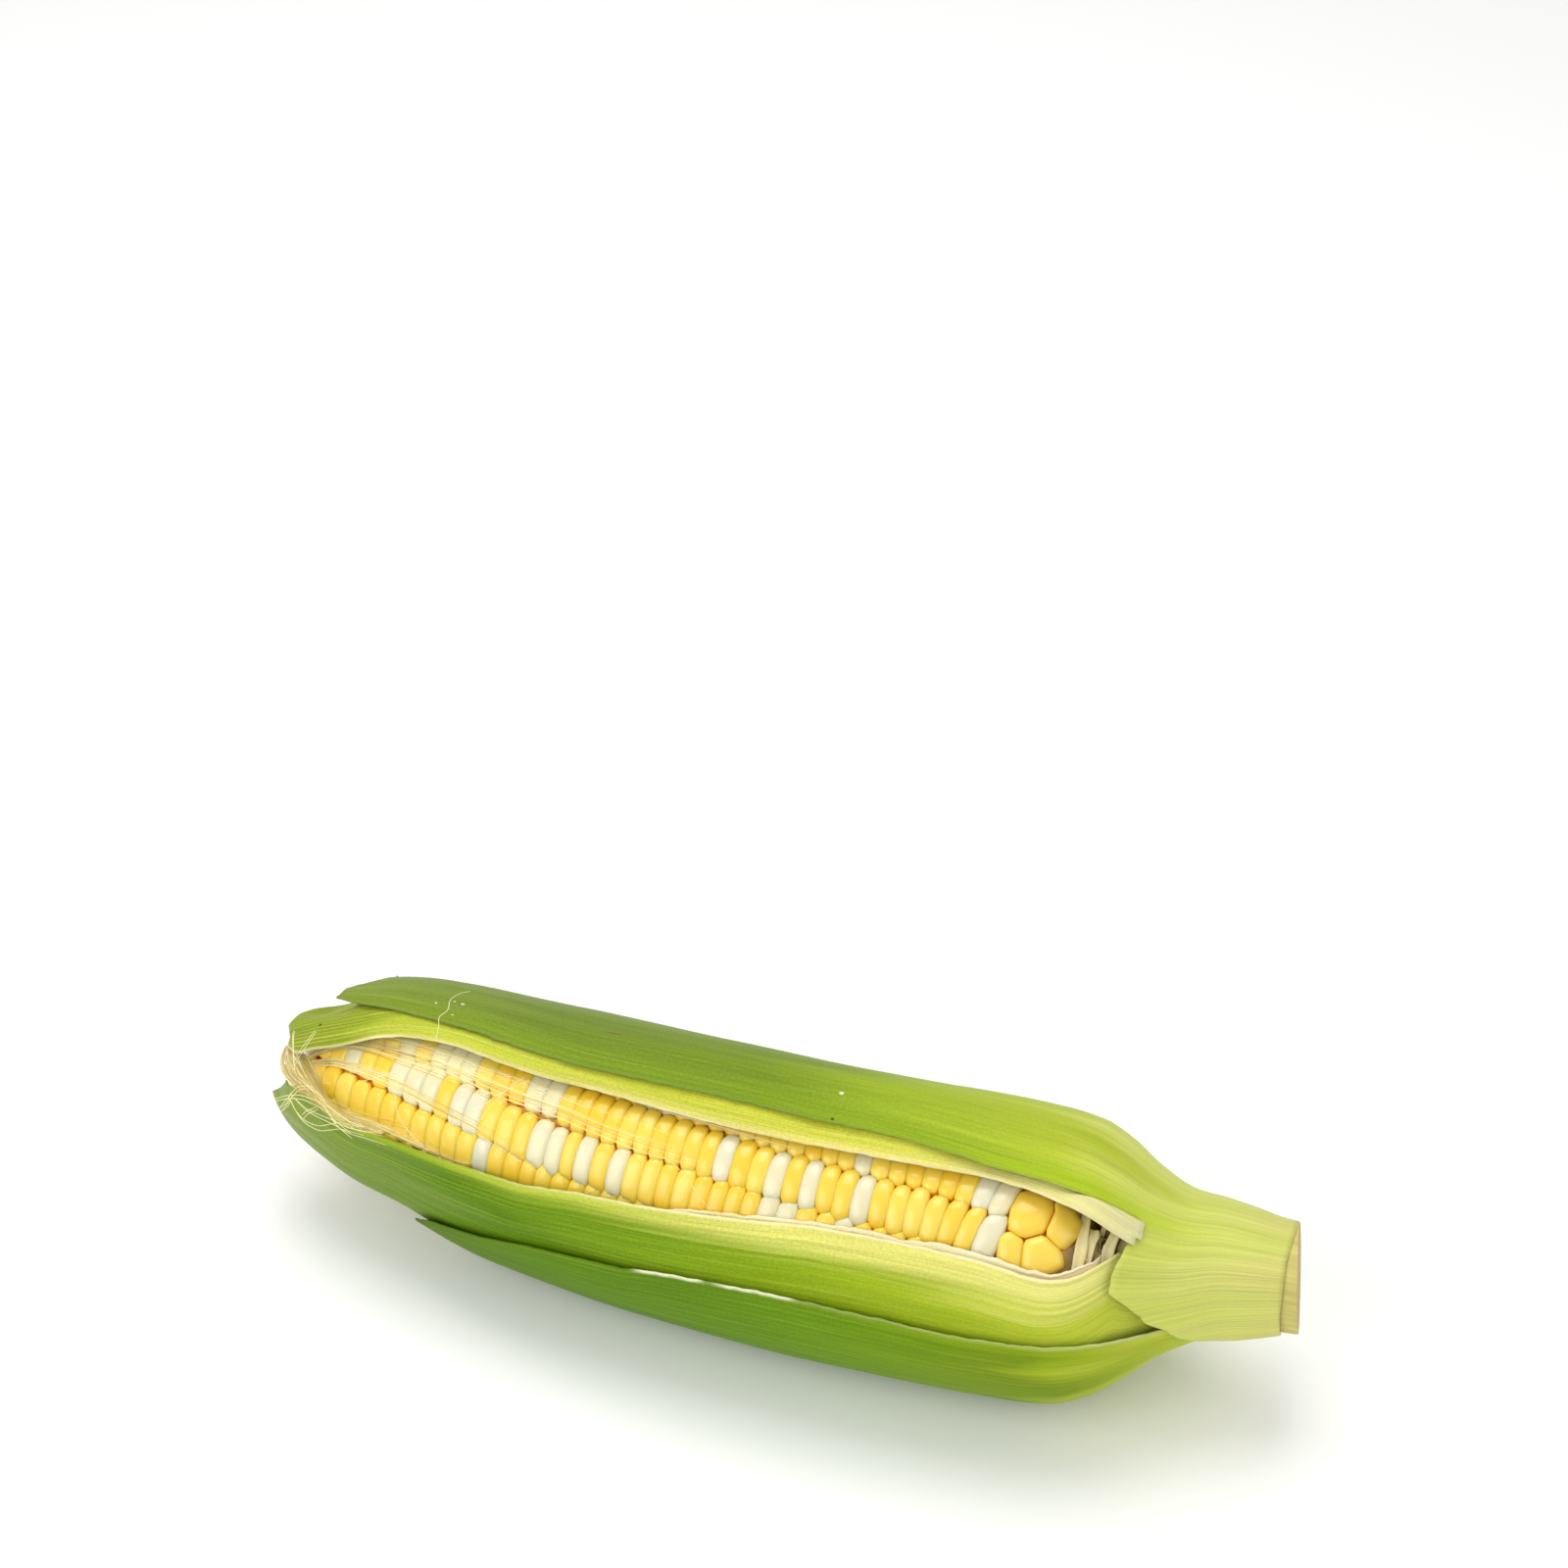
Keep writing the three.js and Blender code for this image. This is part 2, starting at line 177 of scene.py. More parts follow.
def husk_point(x, degrees, depth):
    """The place at a depth square below the husk's outside, flat where the ear rests."""
    slope = (skin(x + 0.2) - skin(x - 0.2)) / 0.4
    length = math.hypot(1, slope)
    point = ear_point(x + depth * slope / length, degrees, skin(x) - depth / length)
    point.z = max(point.z, max(depth, 0.0) * MM)
    return point


def sinking(depth, before=()):
    """Depth of a leaf along the ear: it sinks towards its base, below the torn sheath."""
    deepest = depth + BASE_SINK
    return smooth_curve([*before, (-80, depth), (72, depth), (92, deepest), (114, deepest)])


# --------------------------------------------------------------------------- helpers


def linear(code):
    """The linear colour of an sRGB hex value."""
    parts = [int(code[i : i + 2], 16) / 255 for i in (1, 3, 5)]
    return (*[p / 12.92 if p <= 0.04045 else ((p + 0.055) / 1.055) ** 2.4 for p in parts], 1.0)


# Sockets of a Mix node that mixes two colours: the colours, and the result.
FIRST, SECOND, MIXED = 6, 7, 2


def add(tree, kind, links=(), stops=(), **settings):
    """Adds a node: settings first, then {socket: value or output}, then the stops of a ramp."""
    item = tree.nodes.new(kind)
    for key, value in settings.items():
        setattr(item, key, value)
    for socket, value in dict(links).items():
        if isinstance(value, bpy.types.NodeSocket):
            tree.links.new(value, item.inputs[socket])
        else:
            item.inputs[socket].default_value = value
    for index, (place, colour) in enumerate(stops):
        element = item.color_ramp.elements[index] if index < 2 else item.color_ramp.elements.new(place)
        element.position = place
        element.color = colour
    return item


def new_material(name):
    """A new material, and its node tree with nothing in it."""
    material = bpy.data.materials.new(name)
    material.use_nodes = True
    tree = material.node_tree
    tree.nodes.clear()
    return material, tree


def new_mesh(bm, name):
    """Turns a bmesh into a mesh, and frees it."""
    mesh = bpy.data.meshes.new(name)
    bm.to_mesh(mesh)
    bm.free()
    return mesh


def place_piece(piece, nodes):
    """Adds a piece that rides on the part, and stands for the given CAD nodes."""
    bpy.context.collection.objects.link(piece)
    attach(piece, "root")
    if nodes:
        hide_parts(*nodes)
    return piece


def finish_piece(bm, name, materials, nodes=()):
    """Makes the bmesh a smoothly shaded piece."""
    mesh = new_mesh(bm, name)
    for polygon in mesh.polygons:
        polygon.use_smooth = True
    for material in materials:
        mesh.materials.append(material)
    return place_piece(bpy.data.objects.new(name, mesh), nodes)


def thicken(piece, thickness):
    """Gives a sheet its thickness, on its inner side."""
    solid = piece.modifiers.new("thickness", "SOLIDIFY")
    solid.thickness = thickness
    solid.offset = -1.0


# --------------------------------------------------------------------------- materials


def kernel_material(colours):
    """Ripe sweet corn kernels: a taut, glossy skin over juicy flesh that light sinks into."""
    material, tree = new_material("kernel_skin")
    white = add(tree, "ShaderNodeAttribute", attribute_name="white").outputs["Fac"]
    shade = add(tree, "ShaderNodeAttribute", attribute_name="shade").outputs["Fac"]
    crown_share = add(tree, "ShaderNodeAttribute", attribute_name="crown").outputs["Fac"]
    yellow = add(tree, "ShaderNodeValToRGB", {"Fac": shade}, stops=(
        (0.0, linear(colours.kernel_deep)), (1.0, linear(colours.kernel_light))))
    cream = add(tree, "ShaderNodeValToRGB", {"Fac": shade}, stops=(
        (0.0, linear("#E7DCB0")), (1.0, linear(colours.kernel_white))))
    body = add(tree, "ShaderNodeMix", {"Factor": white, FIRST: yellow.outputs["Color"],
                                      SECOND: cream.outputs["Color"]}, data_type="RGBA")
    # painted shade: a deeper orange for yellow kernels and a deeper cream for white ones, laid on their
    # flanks in the furrows
    furrow_shade_tint = add(tree, "ShaderNodeMix", {"Factor": white, FIRST: linear(colours.furrow),
                                              SECOND: linear("#E2BC62")}, data_type="RGBA")
    # the flank is painted a deeper colour than the crown: painted shade in the furrows, where the skins of
    # two kernels touch
    flank = add(tree, "ShaderNodeMapRange", {"Value": crown_share, "From Min": 0.2, "From Max": 0.80},
                interpolation_type="SMOOTHSTEP")
    colour = add(tree, "ShaderNodeMix", {
        "Factor": flank.outputs["Result"], FIRST: furrow_shade_tint.outputs[MIXED],
        SECOND: body.outputs[MIXED]}, data_type="RGBA")
    # shallow dimples about 4 mm across
    place = add(tree, "ShaderNodeTexCoord").outputs["Object"]
    mottle = add(tree, "ShaderNodeTexNoise", {"Vector": place, "Scale": 260.0, "Detail": 2.0})
    dimple = add(tree, "ShaderNodeBump", {
        "Height": mottle.outputs["Fac"], "Strength": 0.25, "Distance": 0.2 * MM})
    kernel = add(tree, "ShaderNodeBsdfPrincipled", {
        "Base Color": colour.outputs[MIXED], "Normal": dimple.outputs["Normal"], "Roughness": 0.24,
        "IOR": 1.42, "Subsurface Weight": 0.35, "Subsurface Scale": 2.2 * MM,
        "Subsurface Radius": (1.0, 0.55, 0.15), "Coat Weight": 0.4, "Coat Roughness": 0.1})
    add(tree, "ShaderNodeOutputMaterial", {"Surface": kernel.outputs["BSDF"]})
    return material


def cob_material():
    """Chaff on the cob: matt, painted a dark amber between the kernels as painted shade at the bottom of
    the furrows, and its own pale straw where the butt is bare.
    """
    material, tree = new_material("cob_chaff")
    place = add(tree, "ShaderNodeTexCoord").outputs["Object"]
    grain = add(tree, "ShaderNodeTexNoise", {"Vector": place, "Scale": 500.0}).outputs["Fac"]
    # painted shade: the dark amber of the furrows' bottoms
    amber = add(tree, "ShaderNodeValToRGB", {"Fac": grain}, stops=(
        (0.3, linear("#C97F16")), (0.7, linear("#E6A534"))))
    straw = add(tree, "ShaderNodeValToRGB", {"Fac": grain}, stops=(
        (0.3, linear("#E0C078")), (0.7, linear("#F5E4AE"))))
    axes = add(tree, "ShaderNodeSeparateXYZ", {"Vector": place})
    bare = add(tree, "ShaderNodeMapRange", {
        "Value": axes.outputs["X"], "From Min": 63.5 * MM, "From Max": 66.5 * MM})
    tone = add(tree, "ShaderNodeMix", {"Factor": bare.outputs["Result"], FIRST: amber.outputs["Color"],
                                       SECOND: straw.outputs["Color"]}, data_type="RGBA")
    chaff = add(tree, "ShaderNodeBsdfPrincipled", {"Base Color": tone.outputs[MIXED], "Roughness": 0.8})
    add(tree, "ShaderNodeOutputMaterial", {"Surface": chaff.outputs["BSDF"]})
    return material


# Main veins of a leaf stand this far apart. A wave texture repeats every tau / 20 at a scale of 1.
VEIN_PITCH = 1.5
VEIN_SCALE = math.tau / 20 / VEIN_PITCH


def husk_stops(colours):
    """Stops of a ramp over the husk's length, from (x, hex value) pairs."""
    return [((x - HUSK_TIP) / (HUSK_BASE - HUSK_TIP), linear(code)) for x, code in colours]


def husk_material(name, stops, pale, rib, rib_strength=0.5, rim=None, dry=None, marks=(),
                  relief_share=0.6):
    """A living husk leaf: satin, with raised parallel veins and lighter and darker streaks.

    The map's first axis runs along the leaf and its second across it, both in millimetres.
    `stops` gives the colours along the ear, `pale` those by the free edge, where the attribute
    `pale` is 1, and `rib` the colour of the veins. `rim` is the colour of the torn lip, which
    shows by the edge where the attribute `torn_lip` is high. `dry` gives the two ends of a
    dried tip and its colour. `marks` are scars and crumbs, as (x, vein, half length, half
    width, colour). `relief_share` is the strength of the veins' relief.
    """
    material, tree = new_material(name)
    place = add(tree, "ShaderNodeUVMap", uv_map="leaf_mm").outputs["UV"]
    axes = add(tree, "ShaderNodeSeparateXYZ", {"Vector": place})
    along = add(tree, "ShaderNodeMapRange", {
        "Value": axes.outputs["X"], "From Min": HUSK_TIP, "From Max": HUSK_BASE}).outputs["Result"]

    def streaks(x_scale, y_scale, detail):
        stretched = add(tree, "ShaderNodeMapping", {"Vector": place, "Scale": (x_scale, y_scale, 1.0)})
        return add(tree, "ShaderNodeTexNoise", {
            "Vector": stretched.outputs["Vector"], "Scale": 1.0, "Detail": detail}).outputs["Fac"]

    # broad clouds shift the colours up and down the leaf
    drift = add(tree, "ShaderNodeMath", {0: streaks(0.016, 0.10, 3.0), 1: 0.5}, operation="SUBTRACT")
    shifted = add(tree, "ShaderNodeMath", {0: drift.outputs["Value"], 1: 0.30, 2: along},
                  operation="MULTIPLY_ADD")
    body = add(tree, "ShaderNodeValToRGB", {"Fac": shifted.outputs["Value"]}, stops=husk_stops(stops))
    # the pale zone by the edge reaches farther along some veins than along others
    near_edge = add(tree, "ShaderNodeAttribute", attribute_name="pale").outputs["Fac"]
    uneven = add(tree, "ShaderNodeMath", {0: streaks(0.012, 0.55, 2.0), 1: 0.5}, operation="SUBTRACT")
    reach = add(tree, "ShaderNodeMath", {0: uneven.outputs["Value"], 1: 1.1, 2: near_edge},
                operation="MULTIPLY_ADD")
    reached = add(tree, "ShaderNodeMapRange", {
        "Value": reach.outputs["Value"], "From Min": 0.12, "From Max": 0.8},
        interpolation_type="SMOOTHSTEP")
    paler = add(tree, "ShaderNodeValToRGB", {"Fac": along}, stops=husk_stops(pale))
    colour = add(tree, "ShaderNodeMix", {
        "Factor": reached.outputs["Result"], FIRST: body.outputs["Color"],
        SECOND: paler.outputs["Color"]}, data_type="RGBA").outputs[MIXED]
    # main veins, each stronger and weaker along the leaf, and fine ones about 0.5 mm apart
    squeezed = add(tree, "ShaderNodeMapping", {"Vector": place, "Scale": (0.03, 1.0, 1.0)})
    wave = add(tree, "ShaderNodeTexWave", {
        "Vector": squeezed.outputs["Vector"], "Scale": VEIN_SCALE, "Distortion": 1.2, "Detail": 2.0,
        "Detail Scale": 0.8}, bands_direction="Y")
    crest = add(tree, "ShaderNodeMapRange", {
        "Value": wave.outputs["Fac"], "From Min": 0.55, "From Max": 1.0})
    force = add(tree, "ShaderNodeMapRange", {
        "Value": streaks(0.02, 0.42, 2.0), "From Min": 0.38, "From Max": 0.68, "To Max": rib_strength})
    ribs = add(tree, "ShaderNodeMath", {0: crest.outputs["Result"], 1: force.outputs["Result"]},
               operation="MULTIPLY").outputs["Value"]
    fine = streaks(0.035, 2.4, 2.0)
    lines = add(tree, "ShaderNodeMath", {0: fine, 1: 0.8, 2: ribs}, operation="MULTIPLY_ADD")
    colour = add(tree, "ShaderNodeMix", {"Factor": ribs, FIRST: colour, SECOND: linear(rib)},
                 data_type="RGBA").outputs[MIXED]
    # cells mottle the blade, less so towards its base, and bands lighten and darken it
    cells = add(tree, "ShaderNodeTexNoise", {"Vector": place, "Scale": 1.5, "Detail": 2.0}).outputs["Fac"]
    grain = add(tree, "ShaderNodeMath", {0: cells, 1: 0.5}, operation="SUBTRACT")
    grainy = add(tree, "ShaderNodeMapRange", {
        "Value": along, "From Min": 0.6, "From Max": 0.85, "To Min": 0.9, "To Max": 0.2})
    mottle = add(tree, "ShaderNodeMath", {
        0: grain.outputs["Value"], 1: grainy.outputs["Result"], 2: fine}, operation="MULTIPLY_ADD")
    bands = add(tree, "ShaderNodeMath", {0: streaks(0.012, 0.28, 2.0), 1: 0.6, 2: mottle.outputs["Value"]},
                operation="MULTIPLY_ADD")
    streak = add(tree, "ShaderNodeMapRange", {
        "Value": bands.outputs["Value"], "From Min": 0.45, "From Max": 1.15, "To Min": 0.78,
        "To Max": 1.22})
    colour = add(tree, "ShaderNodeVectorMath", {0: colour, "Scale": streak.outputs["Result"]},
                 operation="SCALE").outputs["Vector"]
    if rim:
        edge = add(tree, "ShaderNodeAttribute", attribute_name="edge_mm").outputs["Fac"]
        lip = add(tree, "ShaderNodeMapRange", {
            "Value": edge, "From Min": 0.15, "From Max": 0.9, "To Min": 1.0, "To Max": 0.0})
        here = add(tree, "ShaderNodeAttribute", attribute_name="torn_lip").outputs["Fac"]
        share = add(tree, "ShaderNodeMath", {0: lip.outputs["Result"], 1: here},
                    operation="MULTIPLY", use_clamp=True)
        colour = add(tree, "ShaderNodeMix", {
            "Factor": share.outputs["Value"], FIRST: colour, SECOND: linear(rim)},
            data_type="RGBA").outputs[MIXED]
    if dry:
        start, end, brown = dry
        crisp = add(tree, "ShaderNodeMapRange", {
            "Value": axes.outputs["X"], "From Min": start, "From Max": end, "To Min": 0.9, "To Max": 0.0})
        colour = add(tree, "ShaderNodeMix", {
            "Factor": crisp.outputs["Result"], FIRST: colour, SECOND: linear(brown)},
            data_type="RGBA").outputs[MIXED]
    for x, vein, half_length, half_width, code in marks:
        oval = add(tree, "ShaderNodeMapping", {
            "Vector": place, "Location": (-x / half_length, -vein / half_width, 0.0),
            "Scale": (1 / half_length, 1 / half_width, 1.0)})
        away = add(tree, "ShaderNodeVectorMath", {0: oval.outputs["Vector"]}, operation="LENGTH")
        within = add(tree, "ShaderNodeMapRange", {
            "Value": away.outputs["Value"], "From Min": 0.7, "From Max": 1.2, "To Min": 1.0, "To Max": 0.0})
        colour = add(tree, "ShaderNodeMix", {
            "Factor": within.outputs["Result"], FIRST: colour, SECOND: linear(code)},
            data_type="RGBA").outputs[MIXED]
    relief = add(tree, "ShaderNodeBump", {
        "Height": lines.outputs["Value"], "Strength": relief_share, "Distance": 0.3 * MM})
    leaf = add(tree, "ShaderNodeBsdfPrincipled", {
        "Base Color": colour, "Normal": relief.outputs["Normal"], "Roughness": 0.5, "IOR": 1.4,
        "Subsurface Weight": 0.10, "Subsurface Scale": 1.2 * MM, "Subsurface Radius": (0.6, 1.0, 0.2),
        "Specular IOR Level": 0.14})
    add(tree, "ShaderNodeOutputMaterial", {"Surface": leaf.outputs["BSDF"]})
    return material


def silk_material(name, light, dark, cover=0.55, glow_share=0.4):
    """Dry corn silk: fine pale golden threads that let part of the light through."""
    material, tree = new_material(name)
    place = add(tree, "ShaderNodeTexCoord").outputs["Object"]
    tone = add(tree, "ShaderNodeTexNoise", {"Vector": place, "Scale": 90.0, "Detail": 3.0})
    colour = add(tree, "ShaderNodeValToRGB", {"Fac": tone.outputs["Fac"]},
                 stops=((0.35, linear(dark)), (0.6, linear(light)))).outputs["Color"]
    body = add(tree, "ShaderNodeBsdfPrincipled", {
        "Base Color": colour, "Roughness": 0.45, "IOR": 1.45, "Sheen Weight": 0.2})
    glow = add(tree, "ShaderNodeBsdfTranslucent", {"Color": colour})
    lit = add(tree, "ShaderNodeMixShader", {
        "Fac": glow_share, 1: body.outputs["BSDF"], 2: glow.outputs["BSDF"]})
    clear = add(tree, "ShaderNodeBsdfTransparent", {"Color": linear("#FFFFFF")})
    thread = add(tree, "ShaderNodeMixShader", {
        "Fac": 1 - cover, 1: lit.outputs["Shader"], 2: clear.outputs["BSDF"]})
    add(tree, "ShaderNodeOutputMaterial", {"Surface": thread.outputs["Shader"]})
    return material


def stem_material(name, light, dark):
    """Cut stem: pale fibrous flesh, with fine lengthwise fibres whose ends dot the cut."""
    material, tree = new_material(name)
    place = add(tree, "ShaderNodeTexCoord").outputs["Object"]
    stretched = add(tree, "ShaderNodeMapping", {"Vector": place, "Scale": (40.0, 900.0, 900.0)})
    fibres = add(tree, "ShaderNodeTexNoise", {
        "Vector": stretched.outputs["Vector"], "Scale": 1.0, "Detail": 3.0})
    spots = add(tree, "ShaderNodeTexNoise", {"Vector": place, "Scale": 420.0, "Detail": 3.0})
    blend = add(tree, "ShaderNodeMath", {0: spots.outputs["Fac"], 1: 0.4, 2: fibres.outputs["Fac"]},
                operation="MULTIPLY_ADD").outputs["Value"]
    tone = add(tree, "ShaderNodeValToRGB", {"Fac": blend}, stops=(
        (0.45, linear(dark)), (0.95, linear(light))))
    relief = add(tree, "ShaderNodeBump", {"Height": blend, "Strength": 0.4, "Distance": 0.3 * MM})
    stem = add(tree, "ShaderNodeBsdfPrincipled", {
        "Base Color": tone.outputs["Color"], "Normal": relief.outputs["Normal"], "Roughness": 0.7,
        "IOR": 1.4})
    add(tree, "ShaderNodeOutputMaterial", {"Surface": stem.outputs["BSDF"]})
    return material


def floor_material(colours):
    """Matt white paper sweep."""
    material, tree = new_material("paper_sweep")
    place = add(tree, "ShaderNodeTexCoord").outputs["Object"]
    grain = add(tree, "ShaderNodeTexNoise", {"Vector": place, "Scale": 900.0, "Detail": 2.0})
    relief = add(tree, "ShaderNodeBump", {
        "Height": grain.outputs["Fac"], "Strength": 0.05, "Distance": 0.1 * MM})
    paper = add(tree, "ShaderNodeBsdfPrincipled", {
        "Base Color": linear(colours.floor), "Normal": relief.outputs["Normal"], "Roughness": 0.9})
    add(tree, "ShaderNodeOutputMaterial", {"Surface": paper.outputs["BSDF"]})
    return material


# --------------------------------------------------------------------------- settings


class CornSizes(bpy.types.PropertyGroup):
    """Sizes of the ear's fine parts."""

    kernel_height: bpy.props.FloatProperty(
        name="Kernel Height", description="Half the depth of a kernel, from its widest place to its crown",
        default=3.6 * MM, unit="LENGTH")
    leaf_thickness: bpy.props.FloatProperty(
        name="Leaf Thickness", description="Thickness of a husk leaf", default=0.4 * MM, unit="LENGTH")
    silk_width: bpy.props.FloatProperty(
        name="Silk Width", description="Diameter of a thread of silk", default=0.16 * MM, unit="LENGTH")
    white_share: bpy.props.FloatProperty(
        name="White Share", description="Share of cream-white kernels", default=0.22, subtype="FACTOR")


class CornColours(bpy.types.PropertyGroup):
    """Colours of the ear, as sRGB hex values."""

    kernel_light: bpy.props.StringProperty(
        name="Kernel Light", description="Ripe kernel", default="#F9D758")
    kernel_deep: bpy.props.StringProperty(
        name="Kernel Deep", description="Deeper ripe kernel", default="#F7CA37")
    kernel_white: bpy.props.StringProperty(
        name="Kernel White", description="White kernel", default="#E2DCBD")
    # painted shade: the deeper orange laid on the kernels' flanks for the shade in the furrows
    furrow: bpy.props.StringProperty(
        name="Furrow", description="Kernel flank in the furrows", default="#EFA01E")
    shank: bpy.props.StringProperty(name="Shank", description="Cut stem", default="#CFC674")
    shank_dark: bpy.props.StringProperty(name="Shank Dark", description="Browned stem", default="#B9AE62")
    silk: bpy.props.StringProperty(name="Silk", description="Dry silk", default="#EFEAB8")
    floor: bpy.props.StringProperty(name="Floor", description="Paper below the ear", default="#FAFAF9")


# --------------------------------------------------------------------------- kernels


ROWS = 16
OPEN_ROWS = (14, 15, 0, 1, 2, 3)
FIRST_ROW_ANGLE = 28.5

# How far round the rows have turned, in degrees, and how far apart a row's kernels stand.
ROW_TURN = [
    (-118, -22.4), (-80, -15.2), (-60, -10.2), (-40, -4.6), (0, 3.2), (40, 10.2), (50, 14.5), (58, 17.8),
    (68, 20),
]
KERNEL_PITCH = [
    (-118, 4.8), (-100, 4.5), (-85, 4.1), (-60, 3.95), (-40, 3.78), (20, 3.78), (36, 4.05), (48, 4.6),
    (60, 5.2),
]
row_turn = smooth_curve(ROW_TURN)
kernel_pitch = smooth_curve(KERNEL_PITCH)

# Where rows end at the butt: two of them early, before the large last kernels.
ROW_TIP = -113.5
ROW_BUTT = 68.8
EARLY_BUTT = {15: 53.4, 0: 52.0}

# Where white kernels stand in the rows that the open husk shows, in millimetres along the ear.
WHITE_IN_WINDOW = {
    14: (),
    15: (-30.0, -25.5, 19.9, 47.0, 51.0),
    0: (-88.4, -79.8, -75.9, -72.2, -54.9, -50.7, -9.4, 2.6, 10.1, 21.9, 49.2),
    1: (-100.4, -87.8, -83.1, -78.8, -71.0, -67.0, -50.5, -46.5, -39.7, -31.6, 2.7, 6.6, 19.3),
    2: (-63.1,),
    3: (),
}

# How far rows stray from their even spacing, in degrees at places along the ear.
ROW_SHIFT = {
    14: straight_curve([(-118, -1.6), (70, -1.6)]),
    15: straight_curve([(-118, -3.2), (70, -3.2)]),
    0: straight_curve([(-118, -1.2), (-72, -1.2), (-52, -2.4), (-35, -1.2), (70, -1.2)]),
    1: straight_curve([
        (-118, 1.0), (-85, 2.0), (-62, 2.4), (-50, 3.6), (-38, 2.2), (-25, 1.6), (-8, 0), (70, 0)]),
    2: straight_curve([
        (-118, 6.0), (-95, 6.5), (-82, 5.0), (-63, 1.4), (-45, 1.4), (-20, 0.8), (0, 0), (70, 0)]),
    3: straight_curve([(-118, 5.0), (-95, 5.0), (-80, 3.0), (-62, 0.0), (70, 0)]),
}

# The large last kernels, pressed into polygons by their neighbours: corners as (x, degrees).
BUTT_KERNELS = (
    ((54.0, 13.5), (56.8, 11.4), (61.4, 13.4), (62.2, 20.5), (61.2, 33.2), (56.8, 38.4), (53.2, 35.4),
     (52.8, 24.3)),
    ((61.4, 14.0), (65.8, 15.0), (68.4, 22.0), (67.9, 31.6), (65.4, 41.6), (61.2, 34.0), (62.2, 20.5)),
    ((51.6, 38.8), (53.8, 35.0), (57.2, 38.4), (57.6, 47.5), (57.6, 56.5), (52.4, 57.5)),
    ((57.1, 38.4), (61.0, 33.4), (65.6, 41.0), (66.6, 48.5), (62.6, 57.6), (57.4, 56.6)),
)

# A kernel from its crown down to its root, as (share of its outline, height) for each ring.
PROFILE = ((0.0, 1.0), (0.54, 0.985), (0.81, 0.91), (0.955, 0.73), (1.0, 0.38), (0.98, -0.4), (0.0, -0.6))
WINDOW_SEGMENTS = 14
HIDDEN_SEGMENTS = 10
BUTT_SEGMENTS = 28

# A kernel is this much longer and wider than its share of the row, so that its neighbours press on
# it, and rows in the middle of the opening are wider still, by their entry.
OVERLAP_ALONG = 1.24
OVERLAP_ACROSS = 1.20
WIDER_ROWS = {0: 0.08, 1: 0.08, 2: 0.08}
ROW_KERNEL_BEND = 0.45

# Chance that a hidden kernel is white when the one before it is.
WHITE_RUN = 0.42


def row_stations(row):
    """Places of a row's kernels along the ear: (middle, half length) for each."""
    butt = EARLY_BUTT.get(row, ROW_BUTT)
    draw = random.Random(SEED * 101 + row)
    known = WHITE_IN_WINDOW.get(row) or (draw.uniform(-2, 2),)
    middles = []
    for here, following in zip(known, known[1:]):
        count = max(1, round((following - here) / kernel_pitch((here + following) / 2)))
        middles += [mix(here, following, k / count) for k in range(count)]
    middles.append(known[-1])
    while middles[0] > ROW_TIP:
        middles.insert(0, middles[0] - kernel_pitch(middles[0] - 2))
    while middles[-1] < butt - 1.4 * kernel_pitch(butt):
        middles.append(middles[-1] + kernel_pitch(middles[-1] + 2))
    middles = [x + 0.07 * draw.uniform(-1, 1) * kernel_pitch(x) for x in middles]
    ends = [mix(a, b, 0.5) for a, b in zip(middles, middles[1:])]
    ends = [middles[0] - kernel_pitch(middles[0]) / 2] + ends + [butt]
    return [((start + end) / 2, (end - start) / 2) for start, end in zip(ends, ends[1:])]


def white_kernels(row, stations, white_share):
    """Which kernels of a row are white: as listed, or in short runs drawn at random."""
    if row in WHITE_IN_WINDOW:
        middles = [middle for middle, _ in stations]
        whites = {min(middles, key=lambda middle: abs(middle - x)) for x in WHITE_IN_WINDOW[row]}
        return [middle in whites for middle in middles]
    draw = random.Random(SEED * 977 + row * 31)
    white = []
    for _ in stations:
        chance = WHITE_RUN if white and white[-1] else white_share * 0.74
        white.append(draw.random() < chance)
    return white


def kernel_bmesh():
    """An empty bmesh with the layers that the kernels' colours read."""
    bm = bmesh.new()
    return bm, {name: bm.verts.layers.float.new(name) for name in ("white", "shade", "crown")}


def add_kernel(bm, layers, outline, segments, height, tint, seed):
    """One plump kernel: a ball drawn out to `outline(turn)`, sunk in the cob by its lower half."""
    rings = len(PROFILE) - 1
    centre = [sum(outline(k / 8)[axis] for k in range(8)) / 8 for axis in (0, 1)]
    top = crown(centre[0]) + 0.25
    slope = (crown(centre[0] + 1.5) - crown(centre[0] - 1.5)) / 3
    new = bmesh.ops.create_uvsphere(bm, u_segments=segments, v_segments=rings, radius=1.0)["verts"]
    for vert in new:
        ring = round(math.acos(max(-1.0, min(1.0, vert.co.z))) / math.pi * rings)
        spread, up = PROFILE[ring]
        edge_x, edge_degrees = outline(math.atan2(vert.co.y, vert.co.x) / math.tau % 1.0)
        x = mix(centre[0], edge_x, spread)
        bulge = 0.12 * ripple(seed + vert.co.x, vert.co.y * 1.3, seed)
        out = top + (up - 1) * height + bulge * up + slope * (x - centre[0])
        sink = 1 - 0.05 * max(0.0, -up)
        vert.co = ear_point(x, mix(centre[1], edge_degrees, spread * sink), max(out, 1.0))
        vert[layers["white"]], vert[layers["shade"]] = tint
        # how high up its side a place on the kernel lies; the material paints shade on the low flank from
        # it
        vert[layers["crown"]] = max(0.0, up)


def row_kernel_outline(x, degrees, half_length, half_width, tilt):
    """Outline of a kernel in its row: long across the row, with rounded ends and a slight bow."""

    def outline(turn):
        along, across = math.cos(math.tau * turn), math.sin(math.tau * turn)
        along = math.copysign(abs(along) ** 0.66, along)
        across = math.copysign(abs(across) ** 0.72, across)
        on_x = x + half_length * along - tilt * half_width * across + ROW_KERNEL_BEND * across * across
        return on_x, degrees + math.degrees(half_width * across / max(crown(x), 4.0))

    return outline


